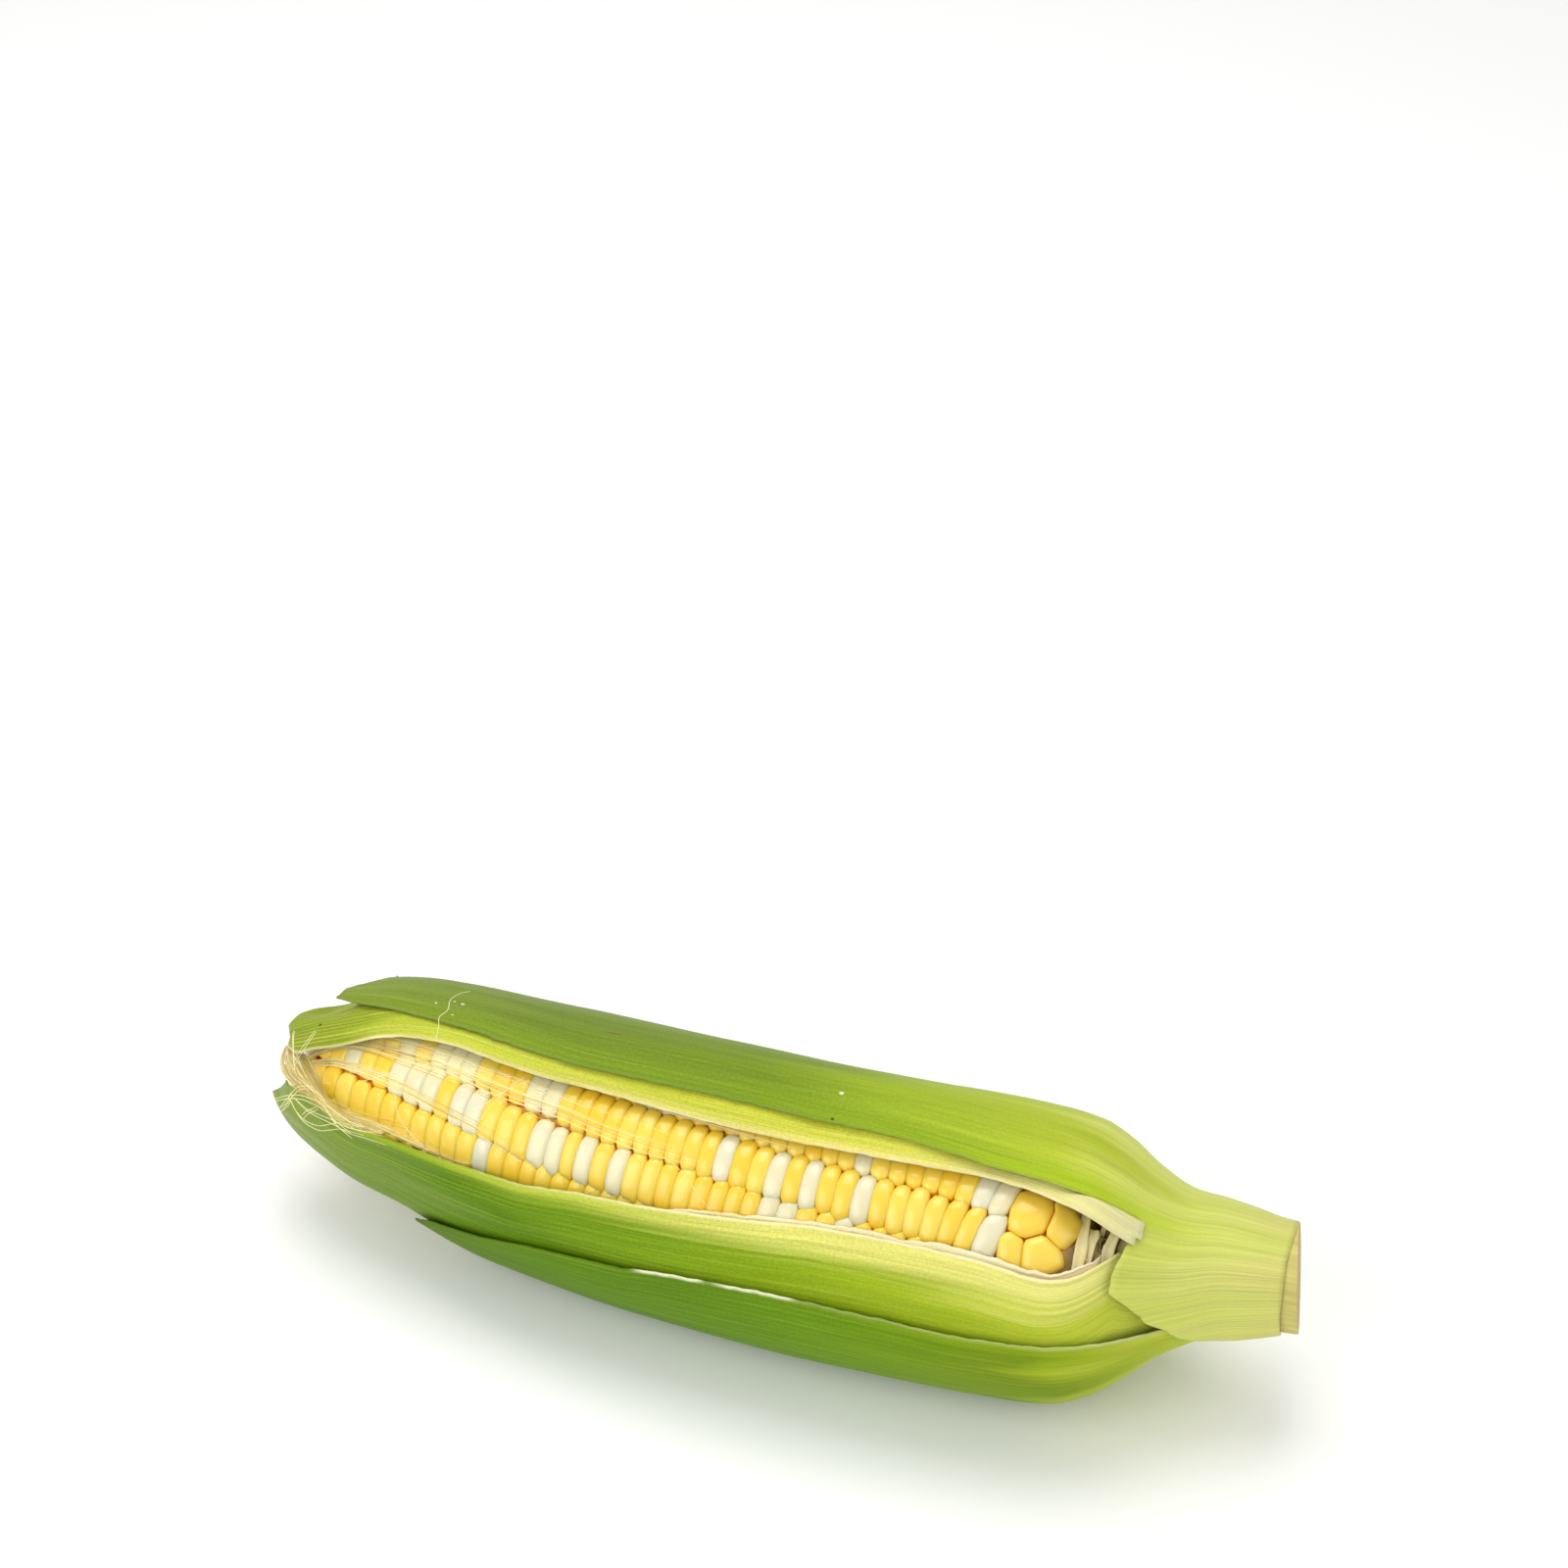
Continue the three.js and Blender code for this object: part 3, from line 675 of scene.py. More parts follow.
def corner_outline(corners):
    """Outline through corners, with the corners rounded off."""
    middle = [sum(c[axis] for c in corners) / len(corners) for axis in (0, 1)]
    per_degree = math.radians(crown(middle[0]))
    around = [((c[0] - middle[0]), (c[1] - middle[1]) * per_degree) for c in corners]

    def reach(angle):
        """How far the polygon reaches from its middle at an angle."""
        ray = (math.cos(angle), math.sin(angle))
        reaches = []
        for (ax, ay), (bx, by) in zip(around, around[1:] + around[:1]):
            cross = ray[0] * (by - ay) - ray[1] * (bx - ax)
            if abs(cross) < 1e-9:
                continue
            distance = (ax * (by - ay) - ay * (bx - ax)) / cross
            side = (ax * ray[1] - ay * ray[0]) / cross
            if distance > 0 and -1e-6 <= side <= 1 + 1e-6:
                reaches.append(distance)
        return min(reaches)

    def outline(turn):
        angle = math.tau * turn
        distance = (reach(angle - 0.1) + 2 * reach(angle) + reach(angle + 0.1)) / 4
        return (middle[0] + distance * math.cos(angle), middle[1] + distance * math.sin(angle) / per_degree)

    return outline


def add_row(bm, layers, row, segments, sizes, draw):
    """A row's kernels, each drawn a little different from its neighbours."""
    stations = row_stations(row)
    for (x, half_length), is_white in zip(stations, white_kernels(row, stations, sizes.white_share)):
        degrees = FIRST_ROW_ANGLE + 360 / ROWS * row + row_turn(x) + draw.uniform(-0.7, 0.7)
        degrees += ROW_SHIFT[row](x) if row in ROW_SHIFT else 0.0
        wider = OVERLAP_ACROSS + 0.04 * draw.uniform(-1, 1) + WIDER_ROWS.get(row, 0.0)
        half_width = math.pi * crown(x) / ROWS * wider
        tilt = 0.03 * draw.uniform(-1, 1) + 0.24 * ease((x - 28) / 26)
        outline = row_kernel_outline(x, degrees, half_length * OVERLAP_ALONG, half_width, tilt)
        tint = (1.0 if is_white else 0.0, draw.random())
        height = sizes.kernel_height / MM * min(1.0, crown(x) / 12) * (1 + 0.04 * draw.uniform(-1, 1))
        add_kernel(bm, layers, outline, segments, height, tint, draw.random() * 99)


def add_butt_kernels(bm, layers, sizes):
    """The large last kernels, each a little lighter than the one before."""
    for index, corners in enumerate(BUTT_KERNELS):
        tint = (0.0, 0.6 + 0.12 * index)
        height = sizes.kernel_height / MM
        add_kernel(bm, layers, corner_outline(corners), BUTT_SEGMENTS, height, tint, index * 7.0)


def build_kernels(rows, segments, sizes):
    """The kernels of the given rows, each row made by itself and then gathered in one mesh."""
    gathered, _ = kernel_bmesh()
    draw = random.Random(SEED)

    def gather(bm):
        bmesh.ops.recalc_face_normals(bm, faces=bm.faces)
        mesh = new_mesh(bm, "row")
        gathered.from_mesh(mesh)
        bpy.data.meshes.remove(mesh)

    for row in rows:
        bm, layers = kernel_bmesh()
        add_row(bm, layers, row, segments, sizes, draw)
        gather(bm)
    if 0 in rows:
        bm, layers = kernel_bmesh()
        add_butt_kernels(bm, layers, sizes)
        gather(bm)
    return gathered


# The cob lies this share of a kernel's height below the crowns.
CORE_DEPTH = 0.62
CORE_TIP = -117.4
CORE_BUTT = 70.2


def close_tube(bm):
    """Joins a wrapped grid's seam and closes its ends. Returns the end faces."""
    bmesh.ops.remove_doubles(bm, verts=bm.verts, dist=1e-6)
    ends = bmesh.ops.holes_fill(bm, edges=bm.edges, sides=0)["faces"]
    bmesh.ops.recalc_face_normals(bm, faces=bm.faces)
    return ends


def build_core(sizes):
    """The cob that the kernels grow on, seen only as the deep bottom of the furrows."""
    bm = bmesh.new()
    bmesh.ops.create_grid(bm, x_segments=60, y_segments=48, size=0.5)
    depth = sizes.kernel_height / MM * CORE_DEPTH
    for vert in bm.verts:
        x = mix(CORE_TIP, CORE_BUTT, vert.co.x + 0.5)
        vert.co = ear_point(x, 360 * (vert.co.y + 0.5), max(1.0, crown(x) - depth))
    close_tube(bm)
    return bm


# --------------------------------------------------------------------------- husk leaves

# Each leaf lies between two edges. Its curves give a value at a place along the ear, except those
# marked as being at an angle.
#   low, high      the edges, as (x, degrees)
#   grid           steps along and across the leaf
#   vein_width     flat width that the veins are spread over
#   depth          how far below the husk's outside the leaf lies
#   lean_from      share of the free room over the kernels that it sinks into by its low edge
#   lean_to        the same by its high edge
#   lean_width     degrees over which that share fades out, away from the edge
#   room           what it leaves free over the kernels
#   pale           the edge that has a pale zone, and how far the zone reaches in
#   tear           depth, width and reach of the tears in the tip
#   fray           how ragged the side edges are
#   torn_lip       how much of the torn lip's colour shows along the edges
#   tip_line       how far the tip is shifted towards the shank, at an angle
#   base_line      the same for the base
#   tip_drop       how far the free tip sinks
#   tip_curl       how far the tip curls in by the low edge
#   strip_edge     the angle past which the leaf comes out over the sheath
#   strip_end      where that strip is torn off
#   pocket         how far the leaf falls away below the torn sheath
#   sheath         the part of the outer leaf that wraps the shank: where it starts and ends along
#                  the ear, the angle it reaches round to, its columns, and at an angle how much
#                  of the lip's colour it shows and the place of its tear
LEAVES = {
    "outer_back_leaf": {
        "low": [
            (-112, -50), (-109, -80), (-104, -104), (-96, -118), (-80, -128), (60, -132), (88, -140),
            (109.8, -156)],
        "high": [
            (-112, 0), (-109, 2.4), (-105, 4), (-84, 4), (-73, 3.4), (-62, 5), (-48, 6.8), (-35, 5.8),
            (-17, 4.4), (-5, 4.4), (8, 5.4), (20, 5.0), (30, 6.2), (38, 8.6), (47, 11.4), (55, 13.2),
            (60, 14.2), (66, 16), (72, 17.1), (79.4, 17.5), (114, 17.5)],
        "grid": (210, 54),
        "vein_width": 78,
        "depth": lambda x: 0.0,
        "lean_to": smooth_curve([(-108, 0.1), (-90, 0.5), (48, 0.5), (60, 0.3), (70, 0)]),
        "lean_width": 14,
        "room": lambda x: 2.1,
        "pale": ("high", smooth_curve([(-110, 3), (-60, 9), (60, 10), (80, 5)])),
        "tear": (0.5, 4.2, 12.0),
        "fray": 0.45,
        "torn_lip": lambda x: 0.05,
        "tip_line": straight_curve([
            (-60, 7.6), (-30, 6.9), (-22, 5.6), (-17, 3.8), (-14, 2.5), (-11.4, 1.1), (-9, 0.9),
            (-4, 0.9), (-1, 0.6), (1, 0.8), (3, 2.0), (6.5, 4)]),
        "base_line": straight_curve([(-14, 3.4), (8, 2.5), (30, 1.4), (84, 0.1)]),
        "tip_drop": 0.1,
        "sheath": {
            "start": 79.4, "end": 109.8, "to": 146, "columns": 56,
            "lip": smooth_curve([(17, 0), (36, 0.2), (54, 0.6), (62, 1.3), (72, 1.3), (80, 0.5), (92, 0)]),
            "torn": smooth_curve([
                (17.5, 79.4), (25, 78.8), (33, 77.7), (38, 77.0), (44, 76.2), (50, 75.8), (56, 75.8),
                (59, 77.2), (62, 79.2), (66, 80.8), (69, 82.0), (76, 83.9), (81, 86.0), (84, 87.3),
                (89.5, 88.6), (100, 91), (120, 97), (146, 106)]),
        },
    },
    "outer_front_leaf": {
        "low": [
            (-79, 119), (-74, 108), (-63, 100.6), (-49, 93.5), (-42, 91.4), (-33, 89.6), (-25, 88),
            (-19.6, 85.4), (-12.5, 83.9), (-5, 82.6), (4.5, 81.2), (11.5, 80.8), (30.6, 81.6), (46, 83),
            (58, 82.2), (70, 81), (77, 82), (82, 84.6), (87, 88), (94, 93), (105, 98)],
        "high": [
            (-79, 122), (-70, 150), (-55, 185), (-30, 210), (0, 214), (60, 216), (90, 222), (105, 230)],
        "grid": (180, 60),
        "vein_width": 74,
        "depth": smooth_curve([(66, 0), (76, 0.2), (91, 1.6), (105, 1.8)]),
        "pale": ("low", lambda x: 3.0),
        "tear": (0.0, 1.0, 1.0),
        "fray": 0.5,
        "torn_lip": smooth_curve([
            (-79, 0), (-24, 0), (-20, 1), (-9, 1), (-6, 0.1), (-2, 1), (11, 1), (14, 0.15), (60, 0.2),
            (80, 0.4)]),
    },
    "inner_back_leaf": {
        "low": [(-123.4, -38), (-117, -80), (-100, -93), (97, -95)],
        "high": [
            (-123.4, 44), (-119, 47), (-116, 46), (-112, 41), (-107, 36), (-101, 29.5), (-96, 23),
            (-90, 18), (-83, 14.6), (-76, 13.2), (-65, 14.4), (-54, 15.4), (-41, 15), (-27, 15.6),
            (-16, 16.2), (2, 16), (18, 15.2), (34, 15), (47, 14.8), (55, 17), (62, 20.2), (66, 22.8),
            (70, 25.8), (75, 29.4), (80.4, 32.4), (97, 33)],
        "grid": (190, 56),
        "vein_width": 62,
        "depth": sinking(LAYER, [(-122, 1), (-116, 1.7)]),
        "lean_to": smooth_curve([(-112, 0.4), (-100, 0.9), (48, 0.9), (58, 0.6), (68, 0.1), (72, 0)]),
        "lean_width": 24,
        "room": lambda x: 2.0,
        "pale": ("high", smooth_curve([(-110, 1.0), (-60, 3), (40, 5), (62, 12), (80, 20)])),
        "tear": (0.3, 3.0, 12.0),
        "fray": 0.4,
        "tip_line": straight_curve([
            (-80, 8), (-40, 7), (-22, 4.5), (-8, 2.0), (4, 0.6), (20, 0.0), (34, 0.4), (46, 3.4)]),
        "tip_drop": 3.4,
        "strip_edge": straight_curve([(60, 13.8), (66, 15.4), (72, 16.5), (79.4, 16.8), (82, 16.8)]),
        "strip_end": 80.9,
    },
    "inner_front_leaf": {
        "low": [
            (-125.4, 78), (-120, 75), (-115, 69), (-110, 67), (-104, 69), (-98, 73), (-92, 73.4),
            (-84, 71), (-73, 68.5), (-63, 67), (-52, 66.4), (-39, 62), (-26, 60), (-14, 57.5), (2, 53.6),
            (14, 50.5), (26, 50), (38, 50.3), (50, 51.4), (58.5, 53.6), (62.7, 54.2), (65.7, 53.4),
            (69, 51.6), (71.6, 48.9), (74.2, 44.6), (76.9, 39.8), (79, 34.5), (81, 40), (97, 50)],
        "high": [(-125.4, 132), (-120, 142), (-113, 150), (97, 158)],
        "grid": (190, 54),
        "vein_width": 58,
        "depth": sinking(LAYER, [(-125, 0), (-98, 0.2), (-82, LAYER)]),
        "lean_from": smooth_curve([(48, 0.9), (60, 0.5), (68, 0.1), (74, 0)]),
        "lean_width": 20,
        "room": straight_curve([(-60, 2.1), (-20, 3.1), (97, 3.1)]),
        "pale": ("low", smooth_curve([(-110, 1.0), (-60, 4.5), (-10, 9), (40, 13), (80, 15)])),
        "tear": (0.3, 3.0, 14.0),
        "fray": 0.35,
        "torn_lip": smooth_curve([(-126, 0), (-70, 0), (-40, 0.4), (0, 0.8), (60, 0.8), (74, 0.3)]),
        "tip_line": straight_curve([
            (72, 6.8), (80, 5.2), (84, 4.5), (92, 4.2), (100, 3.6), (108, 2.8), (125, 2), (140, 1)]),
        "tip_curl": 0.4,
        "pocket": 0.1,
    },
    "membrane_leaf": {
        "low": [
            (-30, 66), (-14, 57), (2, 52), (12, 49.5), (26, 48), (33, 49.5), (40, 47.5), (50, 49.0),
            (58, 51.4), (63, 52.4), (66, 51.6), (69, 49.6), (71.6, 46.6), (74, 42.4), (75.5, 39)],
        "high": [
            (-30, 74), (-14, 100), (2, 112), (26, 118), (50, 118), (58, 116), (64, 108), (75.5, 80)],
        "grid": (140, 30),
        "vein_width": 36,
        "depth": smooth_curve([(-30, 4.2), (0, 5.1), (40, 5.6), (60, 5.5), (66, 4.9), (75.5, 3.4)]),
        "pale": ("low", lambda x: 6.0),
        "tear": (1.2, 1.5, 4.0),
        "fray": 1.0,
    },
    "rear_leaf": {
        "low": [(-121, 200), (-112, 190), (-90, 186), (97, 184)],
        "high": [(-121, 232), (-112, 250), (-90, 259), (97, 260)],
        "grid": (150, 30),
        "vein_width": 40,
        "depth": sinking(LAYER + 0.4),
        "tear": (1.6, 3.0, 5.0),
        "fray": 0.4,
    },
    "lower_leaf": {
        "low": [(-110, 150), (-100, 138), (-80, 134), (97, 134)],
        "high": [(-110, 240), (-100, 262), (-80, 270), (97, 272)],
        "grid": (150, 44),
        "vein_width": 74,
        "depth": sinking(2 * LAYER + 0.4),
        "tear": (1.6, 3.0, 5.0),
        "fray": 0.4,
    },
}

# A leaf keeps this distance from the husk's outside, and this one from the crowns below it.
SKIN_GAP = 0.12
CROWN_GAP = 0.8
# The inner strip lies this high over the sheath, and one column of its leaf follows its edge.
STRIP_RISE = 0.75
STRIP_COLUMN = 48
# The base of the outer leaf is shifted over this length.
BASE_REACH = 14
# Slack for comparing places on a grid.
NEAR = 1e-6


def leaf_depth(shape, seed, x, degrees, edge_low, edge_high):
    """How deep below the husk's outside a leaf lies at a place."""
    depth = shape["depth"](x)
    lean = 0.0
    if "lean_from" in shape:
        near = max(0.0, 1 - (degrees - edge_low) / shape["lean_width"])
        lean += shape["lean_from"](x) * near * (2 - near)
    if "lean_to" in shape:
        near = max(0.0, 1 - abs(edge_high - degrees) / shape["lean_width"])
        lean += shape["lean_to"](x) * near * (2 - near)
    if lean:
        highest = max(crown(x - 5), crown(x), crown(x + 5))
        depth += lean * max(0.0, skin(x) - highest - depth - CROWN_GAP - shape["room"](x))
    if "strip_edge" in shape:
        out = ease((x - 63) / 10) * ease((degrees - shape["strip_edge"](x)) / 1.3)
        depth = mix(depth, -STRIP_RISE, out)
    if "pocket" in shape:
        depth += shape["pocket"] * ease((x - 70) / 12) * ease((degrees - 60) / 12)
    if "tip_curl" in shape:
        depth += shape["tip_curl"] * ease((-106 - x) / 10) * max(0.0, 1 - (degrees - edge_low) / 34)
    if "tip_drop" in shape:
        depth += shape["tip_drop"] * ease((x + 125) / 8) * ease((-104 - x) / 8) * ease((20 - degrees) / 28)
    # lengthwise ridges, and a slow swell of the whole blade, calmer round the neck
    calm = 1 - 0.6 * ease((x - 60) / 20)
    ridge = 0.11 * ripple(x * 0.02, degrees * 0.42, seed) + 0.05 * ripple(x * 0.05, degrees * 1.3, seed)
    swell = 0.16 * ripple(x * 0.05, degrees * 0.06, seed + 3)
    return depth + SKIN_GAP + (ridge + swell) * calm


def place_on_sheath(sheath, seed, x, beyond, edge_high):
    """A place on the sheath, `beyond` of its way round: (x, angle, distance from the tear)."""
    degrees = mix(edge_high, sheath["to"], beyond)
    start = sheath["torn"](degrees) + 0.35 * ripple(degrees * 0.4, seed) + 0.25 * ripple(degrees * 1.7, 3)
    step = max(0.0, (x - sheath["start"]) / (sheath["end"] - sheath["start"]))
    x = mix(start, sheath["end"], step)
    return x, degrees, x - start


def place_across_blade(shape, x, t, edge_low, edge_high):
    """The angle at share t of the way across a blade, and the vein that runs there."""
    degrees = mix(edge_low, edge_high, t)
    if "strip_edge" not in shape:
        return degrees, min(1.0, t) * shape["vein_width"]
    fold = STRIP_COLUMN / shape["grid"][1]
    line = mix(mix(edge_low, edge_high, fold), shape["strip_edge"](x), ease((x - 46) / 14))
    if t < fold:
        degrees = mix(edge_low, line, t / fold)
    else:
        degrees = mix(line, edge_high, (t - fold) / (1 - fold))
    return degrees, (degrees - edge_low) / (edge_high - edge_low) * shape["vein_width"]


def edge_shift(shape, seed, x, per_degree, from_low, from_high, joined):
    """How far the fray shifts a place near an edge, in degrees."""
    ragged = shape["fray"] * (ripple(x * 0.33, seed) + 0.5 * ripple(x * 1.3, seed, 7)) / per_degree * 0.6
    near_low = max(0.0, 1 - from_low / 3)
    near_high = 0.0 if joined else max(0.0, 1 - from_high / 3) * (1 - 0.8 * ease((x - 50) / 15))
    return (near_high - near_low) * ragged


def leaf_ends(shape):
    """The places along the ear of a leaf's tip and base."""
    return shape["low"][0][0], shape["low"][-1][0]


def past_torn_ends(shape, seed, x, degrees):
    """Where a place along a leaf is moved to by the tears of its tip and the line of its ends."""
    tip, base = leaf_ends(shape)
    size, width, reach = shape["tear"]
    tip_share = max(0.0, 1 - (x - tip) / reach)
    x += tip_share * size * (0.5 + 0.5 * ripple(degrees / width * 0.35, seed, 1)
                             + 0.25 * ripple(degrees * 0.9, seed, 5))
    if "tip_line" in shape:
        x += tip_share * shape["tip_line"](degrees)
    if "base_line" in shape:
        x += max(0.0, 1 - (base - x) / BASE_REACH) * shape["base_line"](degrees)
    return x


def face_outwards(bm):
    """Turns a leaf's faces away from the ear's axis."""
    bmesh.ops.recalc_face_normals(bm, faces=bm.faces)
    middle = Vector((0, 0, AXIS_HEIGHT * MM))
    if sum(face.normal.dot(face.calc_center_median() - middle) for face in bm.faces) < 0:
        bmesh.ops.reverse_faces(bm, faces=bm.faces)


def build_leaf(name):
    """A leaf as a single sheet: a grid laid over the ear, with frayed edges and torn ends."""
    shape = LEAVES[name]
    low, high = straight_curve(shape["low"]), straight_curve(shape["high"])
    tip, base = leaf_ends(shape)
    rows, columns = shape["grid"]
    sheath = shape.get("sheath")
    share = columns / (columns + (sheath["columns"] if sheath else 0))
    seed = sum(map(ord, name)) % 97
    pale_side, pale_reach = shape.get("pale", ("low", lambda x: 0.01))
    lip_share = shape.get("torn_lip", lambda x: 0.55 + 0.5 * ripple(x * 0.09, seed))

    bm = bmesh.new()
    uv = bm.loops.layers.uv.new("leaf_mm")
    rim, pale, torn_lip = (bm.verts.layers.float.new(key) for key in ("edge_mm", "pale", "torn_lip"))
    bmesh.ops.create_grid(bm, x_segments=rows, y_segments=round(columns / share), size=0.5)
    places = {}
    doomed = []
    for vert in bm.verts:
        x, t = mix(tip, base, vert.co.x + 0.5), (vert.co.y + 0.5) / share
        edge_low, edge_high = low(x), high(x)
        on_sheath = t > 1.0 + NEAR
        joined = bool(sheath) and x >= sheath["start"] - NEAR
        if on_sheath:
            if not joined:
                doomed.append(vert)
            beyond = (t - 1.0) * share / (1 - share)
            x, degrees, edge = place_on_sheath(sheath, seed, x, beyond, edge_high)
            vein = shape["vein_width"] + (degrees - edge_high) * 0.33
            from_pale = math.inf
        else:
            degrees, vein = place_across_blade(shape, x, t, edge_low, edge_high)
            per_degree = math.radians(skin(x))
            from_low, from_high = (degrees - edge_low) * per_degree, (edge_high - degrees) * per_degree
            from_pale = from_low if pale_side == "low" else from_high
            edge = min(from_low if joined else min(from_low, from_high), x - tip)
            degrees += edge_shift(shape, seed, x, per_degree, from_low, from_high, joined)
        x = past_torn_ends(shape, seed, x, degrees)
        vert.co = husk_point(x, degrees, leaf_depth(shape, seed, x, degrees, edge_low, edge_high))
        vert[rim] = max(0.0, edge)
        vert[pale] = max(0.0, 1 - from_pale / pale_reach(x))
        torn_here = sheath["lip"](degrees) if on_sheath else lip_share(x)
        vert[torn_lip] = max(0.0, torn_here * (1 + 0.6 * ripple(x * 0.5, degrees * 0.5, seed)))
        places[vert] = (x, vein)
        if "strip_end" in shape and degrees > 9:
            end = shape["strip_end"] + 0.5 * ripple(degrees * 0.8, 2) + 0.35 * ripple(degrees * 2.4, 4)
            if x > end:
                doomed.append(vert)
            vert[rim] = min(vert[rim], max(0.0, end - x))
    bmesh.ops.delete(bm, geom=doomed, context="VERTS")
    for face in bm.faces:
        for loop in face.loops:
            loop[uv].uv = places[loop.vert]
    face_outwards(bm)
    return bm


# How each leaf looks: its material, its slot and the material's settings.
LEAF_LOOKS = {
    "outer_back_leaf": ("outer_leaf_back", "outer_husk", {
        "stops": [
            (-126, "#7E9038"), (-60, "#70852A"), (-5, "#738B1B"), (25, "#94AA23"), (60, "#A9B730"),
            (80, "#C6CD60"), (96, "#CACE6D"), (112, "#CEC974")],
        "pale": [
            (-126, "#7C8F28"), (-20, "#6F8B17"), (30, "#869F16"), (66, "#A2B81E"), (82, "#B8C840"),
            (98, "#C8CE68")],
        "rib": "#A3B74C", "rib_strength": 0.18, "relief_share": 0.35, "rim": "#EFEBCB",
        "dry": (-111.8, -109.4, "#9A7430"),
        "marks": (
            (-43.4, 66.0, 2.0, 0.35, "#7A5A34"), (11.4, 70.1, 0.55, 0.4, "#E2E4C4"),
            (-86.2, 71.7, 0.35, 0.3, "#D3D8AE"), (-82.3, 69.7, 0.35, 0.25, "#CBD1A0"),
            (-80.1, 70.0, 0.5, 0.3, "#D8DCB6"), (-80.8, 74.6, 0.4, 0.25, "#C6CC98"),
            (11.5, 77.0, 0.4, 0.4, "#3E4A1C")),
    }),
    "outer_front_leaf": ("outer_leaf_front", "outer_husk", {
        "stops": [
            (-80, "#567512"), (-40, "#587E0A"), (10, "#5F8606"), (40, "#6F9006"), (58, "#758C0C"),
            (72, "#98AB1A"), (92, "#B8C23C"), (106, "#BEC24A")],
        "pale": [(-80, "#506F0C"), (0, "#62860C"), (60, "#8EA612"), (92, "#C2CA4C")],
        "rib": "#9AB436", "rib_strength": 0.4, "rim": "#E4E4C0",
    }),
    "inner_back_leaf": ("inner_leaf_back", "inner_husk", {
        "stops": [
            (-126, "#839324"), (-108, "#8B9A20"), (-92, "#B2BC38"), (-40, "#C0C43A"), (30, "#CCCC40"),
            (60, "#D2CE5A"), (80, "#D8D496")],
        "pale": [
            (-126, "#A8AE44"), (-92, "#C4C448"), (-40, "#CDC75C"), (20, "#D7CE66"), (60, "#D8D080"),
            (82, "#D9D3A0")],
        "rib": "#E0DC7C", "rib_strength": 0.52, "rim": "#F2EABC",
        "marks": ((-112, 52.2, 0.4, 0.4, "#23260E"),),
    }),
    "inner_front_leaf": ("inner_leaf_front", "inner_husk", {
        "stops": [
            (-126, "#8F9C60"), (-112, "#809446"), (-60, "#597E10"), (-20, "#769612"), (12, "#839E12"),
            (40, "#9BAF1E"), (62, "#BAC63A"), (84, "#BEC548")],
        "pale": [
            (-126, "#7F8C3C"), (-80, "#8FA622"), (-40, "#B9C346"), (5, "#DCD870"), (40, "#E2DC78"),
            (80, "#DEDA80")],
        "rib": "#A9C038", "rib_strength": 0.36, "relief_share": 0.45, "rim": "#F2E9BC",
    }),
    "membrane_leaf": ("inner_membrane", "pale_husk", {
        "stops": [(-30, "#E2D068"), (30, "#E8D478"), (56, "#EBD98E"), (68, "#E0BC84"), (76, "#E6D490")],
        "pale": [(-30, "#EADC8A"), (56, "#F4E8B8"), (68, "#EFD9A8")],
        "rib": "#F4E8B4", "rim": "#FBF4DA",
    }),
    "rear_leaf": ("hidden_leaf_rear", "inner_husk", {
        "stops": [(-126, "#9AA64A"), (40, "#B0BA50"), (100, "#CBCB70")],
        "pale": [(-126, "#A2AC50"), (100, "#CBCB70")],
        "rib": "#C2C970",
    }),
    "lower_leaf": ("hidden_leaf_low", "pale_husk", {
        "stops": [(-126, "#B2B860"), (40, "#C4C46C"), (100, "#D2CE80")],
        "pale": [(-126, "#B2B860"), (100, "#D2CE80")],
        "rib": "#D2D08A",
    }),
}


# --------------------------------------------------------------------------- shank


# How far the rims of the stem's cuts are rounded.
CUT_BEVEL = 0.35
# Next to the cut the stem is a little fuller, level with the sheath round it.
CUT_SWELL = 0.9


def build_shank():
    """The stem: a tube with flat ends, the rims of its cuts a little rounded."""
    bm = bmesh.new()
    bmesh.ops.create_grid(bm, x_segments=60, y_segments=72, size=0.5)
    for vert in bm.verts:
        x = mix(SHANK[0][0], SHANK[-1][0], vert.co.x + 0.5)
        degrees = 360 * (vert.co.y + 0.5)
        around = math.radians(degrees)
        grooves = 0.10 * ripple(x * 0.03, math.cos(around) * 9, math.sin(around) * 9)
        vert.co = ear_point(x, degrees, shank_radius(x) + CUT_SWELL * ease((x - 105) / 5) + grooves)
    ends = close_tube(bm)
    for face in ends:
        face.material_index = 1
    rims = [edge for face in ends for edge in face.edges]
    bmesh.ops.bevel(bm, geom=rims, offset=CUT_BEVEL * MM, segments=3, profile=0.5, affect="EDGES",
                    material=-1)
    return bm


# --------------------------------------------------------------------------- silk


# Tones of silk. The golden tone is partly the silk's own colour and partly painted shade: darker threads
# that stand in for the shadows the threads don't cast.
DRY, GOLDEN_SHADED, PALE = range(3)

